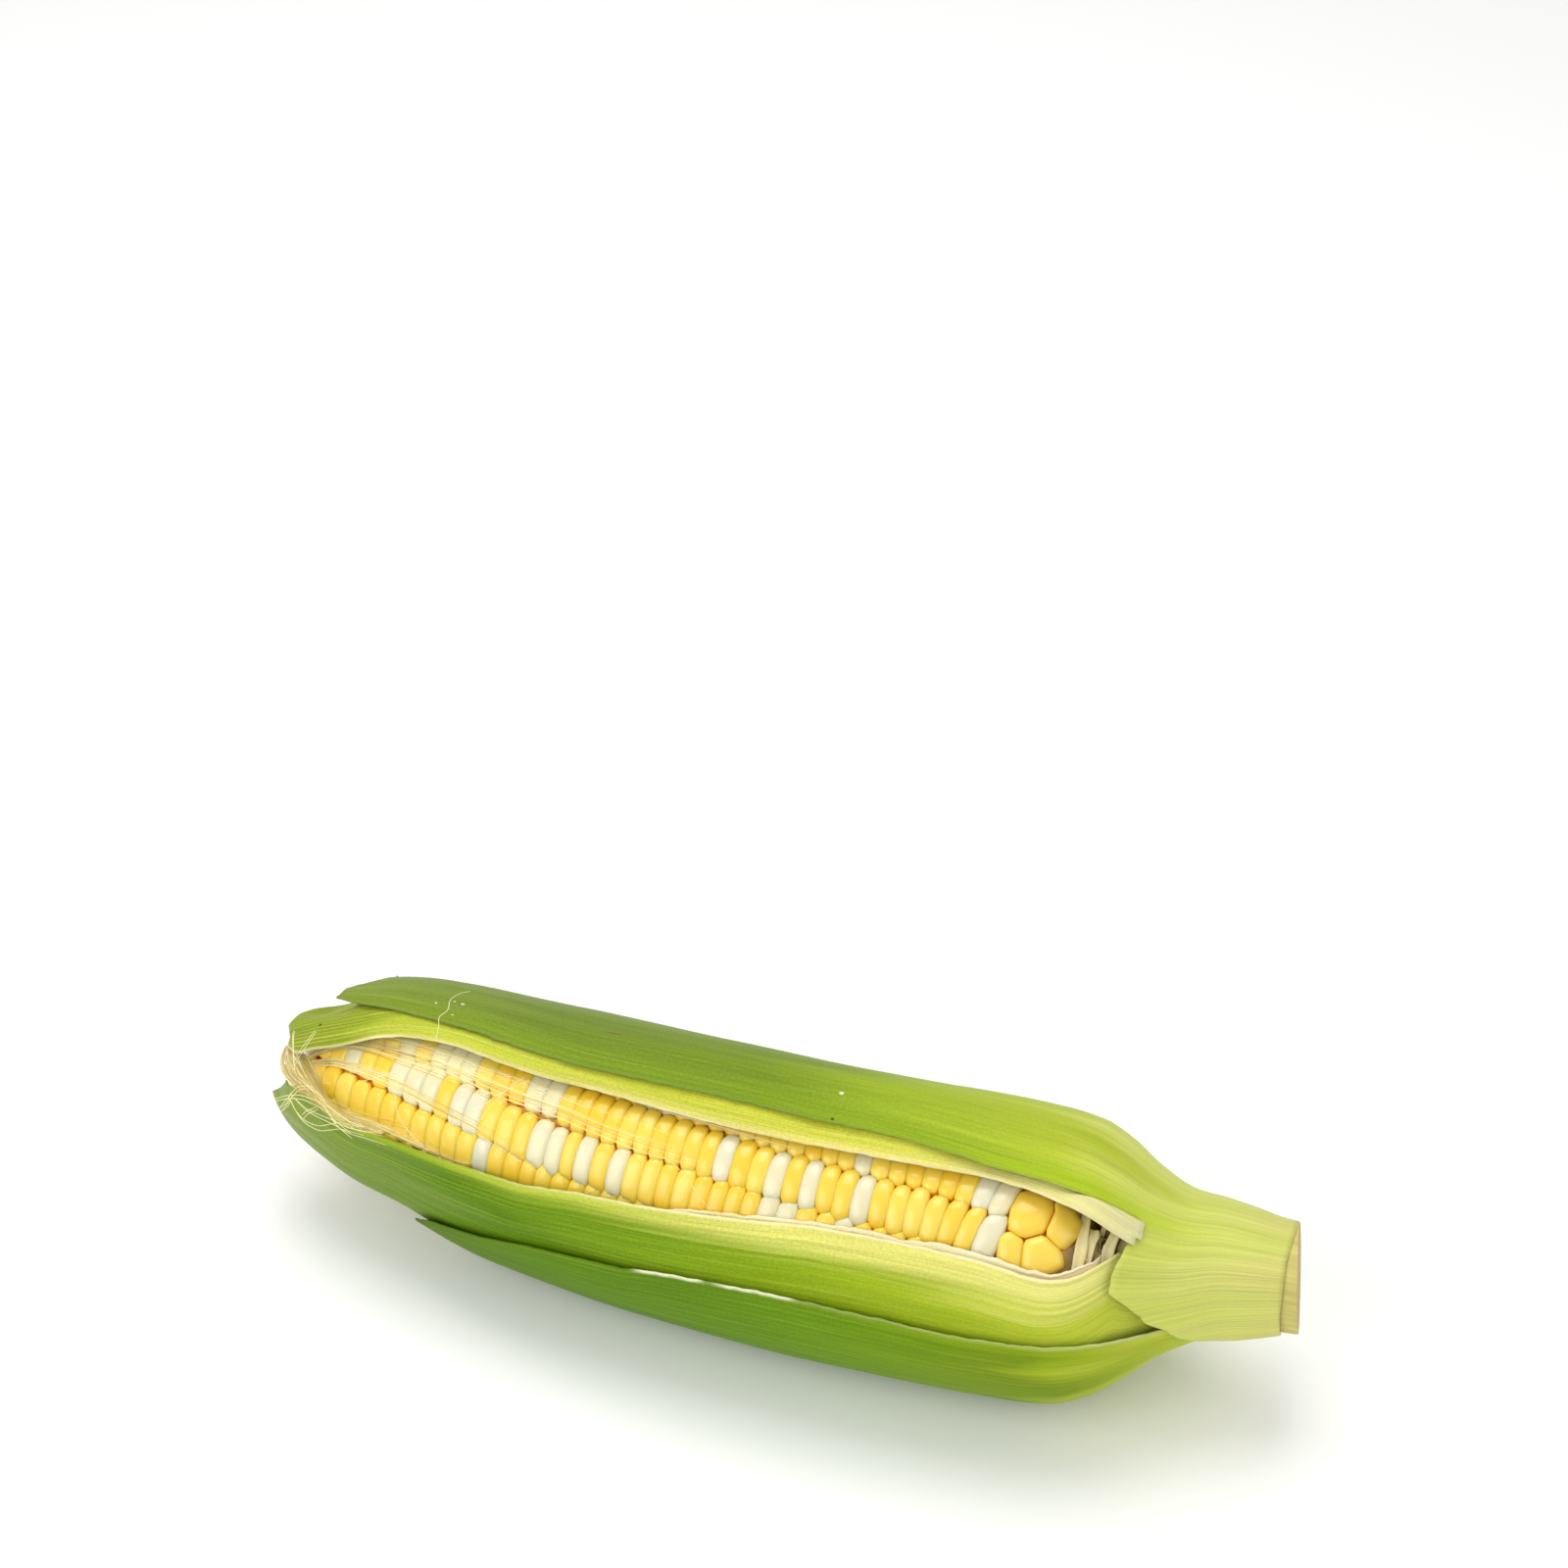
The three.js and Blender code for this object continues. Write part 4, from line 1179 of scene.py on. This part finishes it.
# Streams of silk over the kernels: stations (x, angle), number of threads, spread in degrees.
# A thread that would come out shorter than the shortest is left out.
STREAMS = (
    ([(-119, 62), (-113, 44), (-107, 31), (-99, 25), (-90, 24.5), (-76, 23.5), (-63, 25.5), (-50, 27),
      (-38, 30), (-20, 32), (-10, 32)], 26, 5.2),
    ([(-117, 40), (-110, 26), (-100, 18), (-88, 15), (-74, 15), (-60, 17), (-46, 20), (-34, 24)], 12, 2.6),
    ([(-119, 66), (-112, 52), (-103, 43), (-95, 42), (-85, 43), (-76, 45), (-66, 47.5), (-56, 53),
      (-47, 58)], 20, 2.8),
    ([(-119, 82), (-113, 84), (-106, 78), (-98, 74), (-88, 70.5), (-77, 69), (-70, 69), (-64, 66.5)],
     20, 2.6),
    ([(-34, 12.5), (-25, 13), (-13, 15), (-2, 16), (7, 17)], 7, 0.8),
    ([(-116, 74), (-108, 74), (-98, 72), (-86, 66), (-76, 62)], 12, 3.0),
)
SHORTEST_THREAD = 12
STREAM_STEP = 2.0

# Threads bunched at the tip run between an outer and an inner line: places (x, degrees, radius).
BUNCH_OUTSIDE = [
    (-119.6, 45, 13.2), (-119.4, 55, 14.2), (-117, 60, 17.8), (-114.1, 64, 19.8), (-109.7, 66, 21.6),
    (-105.2, 67.5, 23.0), (-101.7, 69.5, 24.0), (-96.7, 71.5, 25.4), (-93, 72, 26.1), (-86, 67.5, 26.8),
]
BUNCH_INSIDE = [
    (-118.5, 40, 12.0), (-115.5, 44, 13.8), (-112.8, 46, 15.2), (-109.4, 52, 17.1), (-106.7, 58, 18.5),
    (-104.4, 64, 19.5), (-101.4, 69, 20.6), (-97, 71, 21.7), (-92, 69, 22.6), (-86, 69, 23.6),
]
# This many threads run the bunch's whole length, and the others thicken it at the tip.
BUNCH_THREADS = 96
WHOLE_THREADS = 54

# The tuft round the cob's tip: its threads, their angles and where they start and end along the ear.
TUFT_THREADS = 190
TUFT_ANGLES = (96, 380)
TUFT_ENDS = (-121.5, -107.5)
# It fills the opening up to this far below the husk's outside, and farther below it past the
# angle from which the inner leaf's tip has dropped.
TUFT_GAP = 3.8
DROPPED_GAP = 7.4
DROPPED_FROM = 262

# Loose threads: places (x, degrees) at a height over the husk's outside or over the kernels.
LOOSE_THREADS = (
    (skin, 0.7, [(-112, 75.6), (-110.1, 80.5), (-107, 83.4), (-103.1, 81.4), (-99.1, 75.5),
                 (-96.2, 71.5), (-90, 68)]),
    (skin, 0.8, [(-119.1, 91.5), (-114.8, 78.5), (-111.6, 72.1), (-107.5, 67.7), (-103.3, 66.4),
                 (-99.6, 66.6), (-94, 68)]),
    (skin, 0.6, [(-110.7, 72.7), (-106.7, 74.6), (-102.5, 73.6), (-98.5, 72.4), (-94.6, 72.2),
                 (-90.1, 69.8), (-84, 67)]),
    (skin, 0.9, [(-111.6, 70), (-112.4, 77.3), (-115.5, 89.6)]),
    (skin, 0.8, [(-105.5, 60), (-109.5, 64), (-112.9, 77), (-116.3, 93)]),
    (skin, 0.7, [(-103.5, 70), (-106.6, 76.7), (-107.8, 80.9)]),
    (skin, 0.9, [(-101.2, 66.7), (-98.6, 70.9), (-96.9, 72.3), (-93, 74)]),
    (skin, 0.6, [(-116.6, 31), (-116.3, 33.9), (-113.6, 47.6), (-112, 56)]),
    (skin, 0.7, [(-110.2, 28.6), (-110.5, 30.6), (-111.3, 36.9), (-112.3, 45.7), (-113, 56)]),
    (skin, 0.5, [(-80.0, 16), (-80.9, 10), (-82.3, 4), (-81.6, -1), (-83.0, -9), (-82.3, -16),
                 (-80.9, -20)]),
    (crown, 1.5, [(-65, 47), (-63.5, 39), (-62, 31), (-60, 22), (-58, 15)]),
    (crown, 1.6, [(-56, 13), (-48, 9.5), (-41, 3), (-33, -2), (-27, -9)]),
    (crown, 1.2, [(-86, 48), (-84.5, 56), (-82, 62), (-78, 67), (-75, 70)]),
    (crown, 1.3, [(-23, 36), (-20, 38), (-17, 41), (-13, 48), (-9, 55)]),
    (crown, 1.2, [(-96, 50), (-90, 40), (-84, 31), (-80, 24)]),
    (crown, 1.2, [(-71, 52), (-66, 40), (-62, 28), (-57, 17)]),
)
# Loose threads on the husk that start before this place are doubled.
TWINS_BEFORE = -85
# A thread that lies across the last kernels: places (x, degrees, radius).
BUTT_THREAD = ((67.9, 37, 22.1), (70, 41.5, 22.5), (72.7, 46, 22.2))


def thread_piece(name, strands, width, material, nodes=()):
    """Many fine threads in one curve object; each is (points, relative width)."""
    curve = bpy.data.curves.new(name, "CURVE")
    curve.dimensions = "3D"
    curve.bevel_depth = width / 2
    curve.bevel_resolution = 0
    curve.resolution_u = 2
    curve.use_fill_caps = True
    for points, size in strands:
        spline = curve.splines.new("POLY")
        spline.points.add(len(points) - 1)
        for index, (point, place) in enumerate(zip(spline.points, points)):
            point.co = (*place, 1.0)
            along = index / (len(points) - 1)
            point.radius = size * (0.5 + 0.5 * math.sin(math.pi * min(1.0, 0.12 + along * 0.88)))
    curve.materials.append(material)
    piece = bpy.data.objects.new(name, curve)
    piece.visible_shadow = False
    return place_piece(piece, nodes)


def stream_strands(rng):
    """Threads that stream over the kernels, each as (points, width, tone)."""
    strands = []
    for stations, count, spread in STREAMS:
        run = smooth_curve(stations)
        first, last = stations[0][0], stations[-1][0]
        for _ in range(count):
            start = mix(first, last, max(0.0, rng.uniform(-0.9, 0.35)))
            stop = mix(first, last, rng.uniform(0.4, 1.0))
            if stop - start < SHORTEST_THREAD:
                continue
            offset = rng.uniform(-1, 1) * spread
            drift = rng.uniform(-1, 1) * spread * 0.6
            phase = rng.uniform(0, 100)
            height = rng.uniform(0.2, 0.9)
            points = []
            steps = max(8, int((stop - start) / STREAM_STEP))
            for k in range(steps + 1):
                along = k / steps
                x = mix(start, stop, along)
                wander = 1.5 * ripple(x * 0.06, phase) + 0.5 * ripple(x * 0.25, phase, 4)
                # near the tip the threads spread wider and stand higher
                gathered = ease((x + 120) / 16)
                degrees = run(x) + (offset * mix(1.6, 1.0, gathered) + drift * along + wander)
                lift = height + 0.3 * ripple(x * 0.12, phase, 9) + 1.1 * (1 - gathered)
                points.append(ear_point(x, degrees, crown(x) + max(0.2, lift)))
            width, tone = rng.choice((0.8, 1.0, 1.2, 1.8)), rng.choice((DRY, DRY, DRY, GOLDEN_SHADED, PALE))
            strands.append((points, width, tone))
    return strands


def bunch_strands(rng):
    """Threads bunched at the tip, between the outer and the inner line."""
    strands = []
    steps = 24
    tones = (GOLDEN_SHADED, GOLDEN_SHADED, DRY, GOLDEN_SHADED, GOLDEN_SHADED, PALE)
    for n in range(BUNCH_THREADS):
        inward = rng.random()
        bow, phase = rng.uniform(-1, 1), rng.uniform(0, 99)
        first = rng.choice((0, 0, 1, 2))
        last = rng.choice((8, 9, 10, 10) if n < WHOLE_THREADS else (4, 5, 5, 6))
        places = [[mix(a, b, inward) for a, b in zip(outer, inner)]
                  for outer, inner in zip(BUNCH_OUTSIDE, BUNCH_INSIDE)][first:last]
        spans, line = len(places) - 1, soft_line(places)
        points = []
        for k in range(steps + 1):
            t = k / steps * spans
            x, degrees, radius = line(t)
            sway = ripple(t * 0.8, phase) * 0.8 + 0.6 * bow * math.sin(math.pi * t / spans)
            turned = degrees + 2.4 * ripple(t * 0.6, phase, 5)
            points.append(ear_point(x + 0.5 * sway, turned, radius + 0.6 * sway))
        strands.append((points, rng.uniform(0.8, 1.9), tones[n % len(tones)]))
    return strands


def tuft_strands(rng):
    """A tuft that fills the opening round the cob's tip."""
    strands = []
    steps = 9
    tones = (GOLDEN_SHADED, DRY, GOLDEN_SHADED, GOLDEN_SHADED)
    for n in range(TUFT_THREADS):
        degrees, within, phase = rng.uniform(*TUFT_ANGLES), rng.random(), rng.uniform(0, 99)
        gap = TUFT_GAP if degrees < DROPPED_FROM else DROPPED_GAP
        points = []
        for k in range(steps + 1):
            x = mix(TUFT_ENDS[0] + 1.6 * within, TUFT_ENDS[1], k / steps)
            between = crown(x) + 0.5 + within * max(0.0, skin(x) - gap - crown(x))
            radius = mix(1.0 + 4 * within, between, ease((x + 122) / 7))
            turned = degrees + 9 * ripple(k * 0.25, phase)
            points.append(ear_point(x, turned, radius + 0.5 * ripple(k * 0.5, phase, 3)))
        strands.append((points, rng.uniform(1.0, 2.2), tones[n % len(tones)]))
    return strands


def loose_strands(rng):
    """Loose threads on the husk and over the kernels, and one that crosses the butt."""
    strands = []
    steps = 24
    for surface, height, places in LOOSE_THREADS:
        twins = 2 if surface is skin and places[0][0] < TWINS_BEFORE else 1
        for twin in range(twins):
            line = soft_line([(x + 0.5 * twin, degrees + twin * (0.8 + 0.5 * k))
                              for k, (x, degrees) in enumerate(places)])
            phase = rng.uniform(0, 50)
            points = []
            for k in range(steps + 1):
                along = k / steps
                x, degrees = line(along * (len(places) - 1))
                lift = height + 0.2 * ripple(along * 1.6, phase)
                points.append(ear_point(x, degrees, max(surface(x), 2.5) + lift))
            strands.append((points, 1.25, PALE))
    strands.append(([ear_point(*place) for place in BUTT_THREAD], 1.8, PALE))
    return strands


# Fibres that stand round the butt between these angles, and thin curls among them.
FIBRES = 48
FIBRE_WIDTH = 0.9
FIBRE_ANGLES = (-14, 76)
CURLS = 9


def fibre_strands(rng):
    """Dried fibres from the stem up to the last kernels, and a few thin curls."""
    strands = []
    fibre_steps, curl_steps = 10, 14
    for n in range(FIBRES):
        degrees = FIBRE_ANGLES[0] + (FIBRE_ANGLES[1] - FIBRE_ANGLES[0]) * (n + rng.random()) / FIBRES
        lean, bow = rng.uniform(-9, 9), rng.uniform(0.0, 1.0)
        reach, width = rng.uniform(13.5, 17.5), rng.choice((1.8, 2.4, 2.8))
        foot, head = rng.uniform(77, 81), rng.uniform(70.6, 72.6)
        phase = rng.uniform(0, 99)
        points = []
        for k in range(fibre_steps + 1):
            along = k / fibre_steps
            x = mix(foot, head, along ** 0.9) + bow * math.sin(math.pi * along)
            radius = mix(9.6, reach, along ** 0.8) + 0.4 * ripple(along * 3, phase, 4)
            turned = degrees + lean * along * along
            points.append(ear_point(x + 0.3 * ripple(along * 3, phase), turned, radius))
        strands.append((points, width))
    for _ in range(CURLS):
        degrees, curl = rng.uniform(18, 56), rng.uniform(-1, 1)
        points = []
        for k in range(curl_steps + 1):
            turn = k / curl_steps
            points.append(ear_point(76.5 - 4.5 * turn + 1.6 * math.sin(5 * turn) * curl,
                                    degrees + 22 * curl * math.sin(math.pi * turn),
                                    11 + 9.5 * math.sin(math.pi * turn * 0.8)))
        strands.append((points, 0.28))
    return strands


# Dried bracts that stand round the cob's butt: (width, places (x, degrees, radius) up the middle).
BRACTS = (
    (1.8, [(70.3, 66, 19.5), (70.5, 48, 21.3), (70.6, 35, 21.6), (71.1, 28, 21.2), (70.7, 23.5, 20.2),
           (69.4, 23, 18.6)]),
    (2.4, [(73.9, 60, 18.5), (74.6, 44, 20.4), (74.6, 35.5, 21.0), (75.1, 28, 20.8), (75.8, 16, 19.6)]),
    (2.4, [(68.6, 68, 20.2), (68.9, 51, 21.4), (69.0, 39, 21.5), (68.8, 27, 21.2), (68.5, 10, 20.2)]),
    (2.6, [(77.1, 52, 16.5), (77.4, 38, 18.2), (77.8, 28, 18.8), (78.2, 14, 17.4)]),
    (1.6, [(72.3, 66, 17.2), (72.5, 52, 18.8), (72.3, 40, 19.2), (71.9, 28, 18.8)]),
    (1.2, [(71.8, 36, 18.6), (72.6, 20, 18.8), (73.2, 4, 17.0)]),
)
BRACT_THICKNESS = 0.35


def build_bracts():
    """Narrow dry strips that follow the curve of the butt, cupped a little across."""
    bm = bmesh.new()
    for width, places in BRACTS:
        spans, line = len(places) - 1, soft_line(places)
        for vert in bmesh.ops.create_grid(bm, x_segments=28, y_segments=4, size=0.5)["verts"]:
            along, across = vert.co.x + 0.5, vert.co.y
            x, degrees, radius = line(along * spans)
            belly = width * (0.75 + 0.35 * math.sin(math.pi * along))
            reach = belly * (1 + 0.12 * ripple(along * 9, width * 31))
            lift = 0.9 * across * across * width + 0.2 * ripple(along * 7, width * 17, across * 3)
            vert.co = ear_point(x + across * reach, degrees, radius + lift)
    bmesh.ops.recalc_face_normals(bm, faces=bm.faces)
    return bm


# --------------------------------------------------------------------------- stage


# The camera looks down on the ear from the front and a little from the right. The ear lies
# below the middle of the picture, so the camera's aim passes above it.
AZIMUTH = math.radians(19.5)
ELEVATION = math.radians(39.0)
LENS = 85.0
SENSOR = 36.0
PICTURE = 1600
PIXELS_PER_MM = 4.6
EAR_MIDDLE_PIXEL = 1228

# Softboxes aimed at the ear: name, place, diameter in metres and power in watts.
LAMPS = (
    ("overhead_softbox", (-0.15, 0.25, 0.95), 0.75, 4.7),
    ("front_softbox", (-0.55, -0.85, 0.75), 1.0, 6.0),
    ("right_fill", (0.95, -0.35, 0.55), 0.8, 1.8),
)
LAMP_TARGET = Vector((0, 0, 0.03))
FLOOR_HALF_WIDTH = 3.0
WORLD_STRENGTH = 0.6


def add_camera(scene):
    """The camera, placed so that the ear's middle has the wanted scale and place in the picture."""
    back = Vector((math.sin(AZIMUTH) * math.cos(ELEVATION), -math.cos(AZIMUTH) * math.cos(ELEVATION),
                   math.sin(ELEVATION)))
    right = Vector((math.cos(AZIMUTH), math.sin(AZIMUTH), 0))
    up = back.cross(right)
    distance = LENS / SENSOR * PICTURE / PIXELS_PER_MM * MM
    drop = (EAR_MIDDLE_PIXEL - PICTURE / 2) / PIXELS_PER_MM * MM
    data = bpy.data.cameras.new("camera")
    data.lens, data.sensor_width = LENS, SENSOR
    data.clip_start, data.clip_end = 0.05, 20
    camera = bpy.data.objects.new("camera", data)
    camera.matrix_world = Matrix((right, up, back)).transposed().to_4x4()
    camera.location = Vector((0, 0, AXIS_HEIGHT * MM)) + up * drop + back * distance
    scene.collection.objects.link(camera)
    scene.camera = camera


def add_floor(scene):
    """A flat sheet of paper that the ear rests on."""
    bm = bmesh.new()
    bmesh.ops.create_grid(bm, x_segments=2, y_segments=2, size=FLOOR_HALF_WIDTH)
    mesh = new_mesh(bm, "floor")
    mesh.materials.append(floor_material(scene.corn_colours))
    floor = bpy.data.objects.new("floor", mesh)
    scene.collection.objects.link(floor)


def add_lamps(scene):
    """Round softboxes, turned to face the ear."""
    for name, place, size, power in LAMPS:
        light = bpy.data.lights.new(name, "AREA")
        light.shape, light.size, light.energy = "DISK", size, power
        lamp = bpy.data.objects.new(name, light)
        lamp.location = place
        lamp.rotation_euler = (LAMP_TARGET - Vector(place)).to_track_quat("-Z", "Y").to_euler()
        scene.collection.objects.link(lamp)


def add_world(scene):
    """Even white light from all round, and colours shown as they are."""
    world = bpy.data.worlds.new("studio")
    world.use_nodes = True
    background = world.node_tree.nodes["Background"]
    background.inputs["Color"].default_value = (1, 1, 1, 1)
    background.inputs["Strength"].default_value = WORLD_STRENGTH
    scene.world = world
    scene.view_settings.view_transform = "Standard"


# --------------------------------------------------------------------------- operators


class CORN_OT_kernels(bpy.types.Operator):
    """Adds the kernels, finer where the husk is open, and the cob below them"""

    bl_idname = "corn.kernels"
    bl_label = "Add Kernels"

    def execute(self, context):
        sizes, colours = context.scene.corn_sizes, context.scene.corn_colours
        material = kernel_material(colours)
        shut_rows = [row for row in range(ROWS) if row not in OPEN_ROWS]
        in_window = build_kernels(OPEN_ROWS, WINDOW_SEGMENTS, sizes)
        finish_piece(in_window, "kernels_in_window", [material], ["kernelled_cob"])
        under_husk = build_kernels(shut_rows, HIDDEN_SEGMENTS, sizes)
        finish_piece(under_husk, "kernels_under_husk", [material])
        finish_piece(build_core(sizes), "cob_core", [cob_material()])
        return {"FINISHED"}


class CORN_OT_husk(bpy.types.Operator):
    """Adds the husk leaves in their layers"""

    bl_idname = "corn.husk"
    bl_label = "Add Husk Leaves"

    def execute(self, context):
        for name, (finish, slot, settings) in LEAF_LOOKS.items():
            material = husk_material(finish, **settings)
            piece = finish_piece(build_leaf(name), "husk_" + name, [material], [name])
            thicken(piece, context.scene.corn_sizes.leaf_thickness)
        return {"FINISHED"}


class CORN_OT_shank(bpy.types.Operator):
    """Adds the cut stem"""

    bl_idname = "corn.shank"
    bl_label = "Add Shank"

    def execute(self, context):
        colours = context.scene.corn_colours
        materials = [stem_material("stem_fibre", colours.shank, colours.shank_dark),
                     stem_material("browned_cut", "#CBB78A", "#A58A5C")]
        piece = finish_piece(build_shank(), "cut_shank", materials, ["shank"])
        for polygon in piece.data.polygons:
            polygon.use_smooth = len(polygon.vertices) < 8
        return {"FINISHED"}


class CORN_OT_silk(bpy.types.Operator):
    """Adds the silk and the dried fibres at the butt"""

    bl_idname = "corn.silk"
    bl_label = "Add Silk"

    def execute(self, context):
        sizes, colours = context.scene.corn_sizes, context.scene.corn_colours
        rng = random.Random(SEED + 5)
        strands = stream_strands(rng) + bunch_strands(rng) + tuft_strands(rng) + loose_strands(rng)
        # the golden tone is darker partly as painted shade, for the shadows that the threads don't cast
        tones = {DRY: ("dry_silk", colours.silk, "#E6DB98", 0.48),
                 GOLDEN_SHADED: ("golden_shaded_silk", "#DCCF84", "#CAB768", 0.66),
                 PALE: ("pale_silk", "#FCF7DA", "#F6EFBC", 0.85)}
        for tone, (name, light, dark, cover) in tones.items():
            picked = [(points, size) for points, size, its_tone in strands if its_tone == tone]
            silk = silk_material(name, light, dark, cover)
            thread_piece(name + "_threads", picked, sizes.silk_width, silk, ["tip_silk"])
        chaff = silk_material("dried_chaff", "#DCC070", "#8E7028", cover=1.0, glow_share=0.1)
        thread_piece("butt_fibres", fibre_strands(rng), FIBRE_WIDTH * MM, chaff, ["dried_fibres"])
        bract = silk_material("dried_bract", "#FFF7C6", "#F0E096", cover=1.0, glow_share=0.05)
        thicken(finish_piece(build_bracts(), "butt_bracts", [bract]), BRACT_THICKNESS * MM)
        return {"FINISHED"}


class CORN_OT_stage(bpy.types.Operator):
    """Adds the floor, the soft lights and the camera"""

    bl_idname = "corn.stage"
    bl_label = "Add Stage"

    def execute(self, context):
        add_camera(context.scene)
        add_floor(context.scene)
        add_lamps(context.scene)
        add_world(context.scene)
        return {"FINISHED"}


class CORN_PT_panel(bpy.types.Panel):
    """The ear's pieces, in the order they are added"""

    bl_label = "Corn Cob"
    bl_space_type = "VIEW_3D"
    bl_region_type = "UI"
    bl_category = "Corn Cob"

    def draw(self, context):
        for group in (context.scene.corn_sizes, context.scene.corn_colours):
            for key in group.__annotations__:
                self.layout.prop(group, key)
        for operator in OPERATORS:
            self.layout.operator(operator.bl_idname)


OPERATORS = (CORN_OT_kernels, CORN_OT_husk, CORN_OT_shank, CORN_OT_silk, CORN_OT_stage)
CLASSES = (CornSizes, CornColours, *OPERATORS, CORN_PT_panel)


def register():
    for item in CLASSES:
        bpy.utils.register_class(item)
    bpy.types.Scene.corn_sizes = bpy.props.PointerProperty(type=CornSizes)
    bpy.types.Scene.corn_colours = bpy.props.PointerProperty(type=CornColours)


def unregister():
    del bpy.types.Scene.corn_sizes
    del bpy.types.Scene.corn_colours
    for item in reversed(CLASSES):
        bpy.utils.unregister_class(item)


def main():
    """Adds the whole scene."""
    register()
    bpy.ops.corn.kernels()
    bpy.ops.corn.husk()
    bpy.ops.corn.shank()
    bpy.ops.corn.silk()
    bpy.ops.corn.stage()


if __name__ == "__main__":
    main()
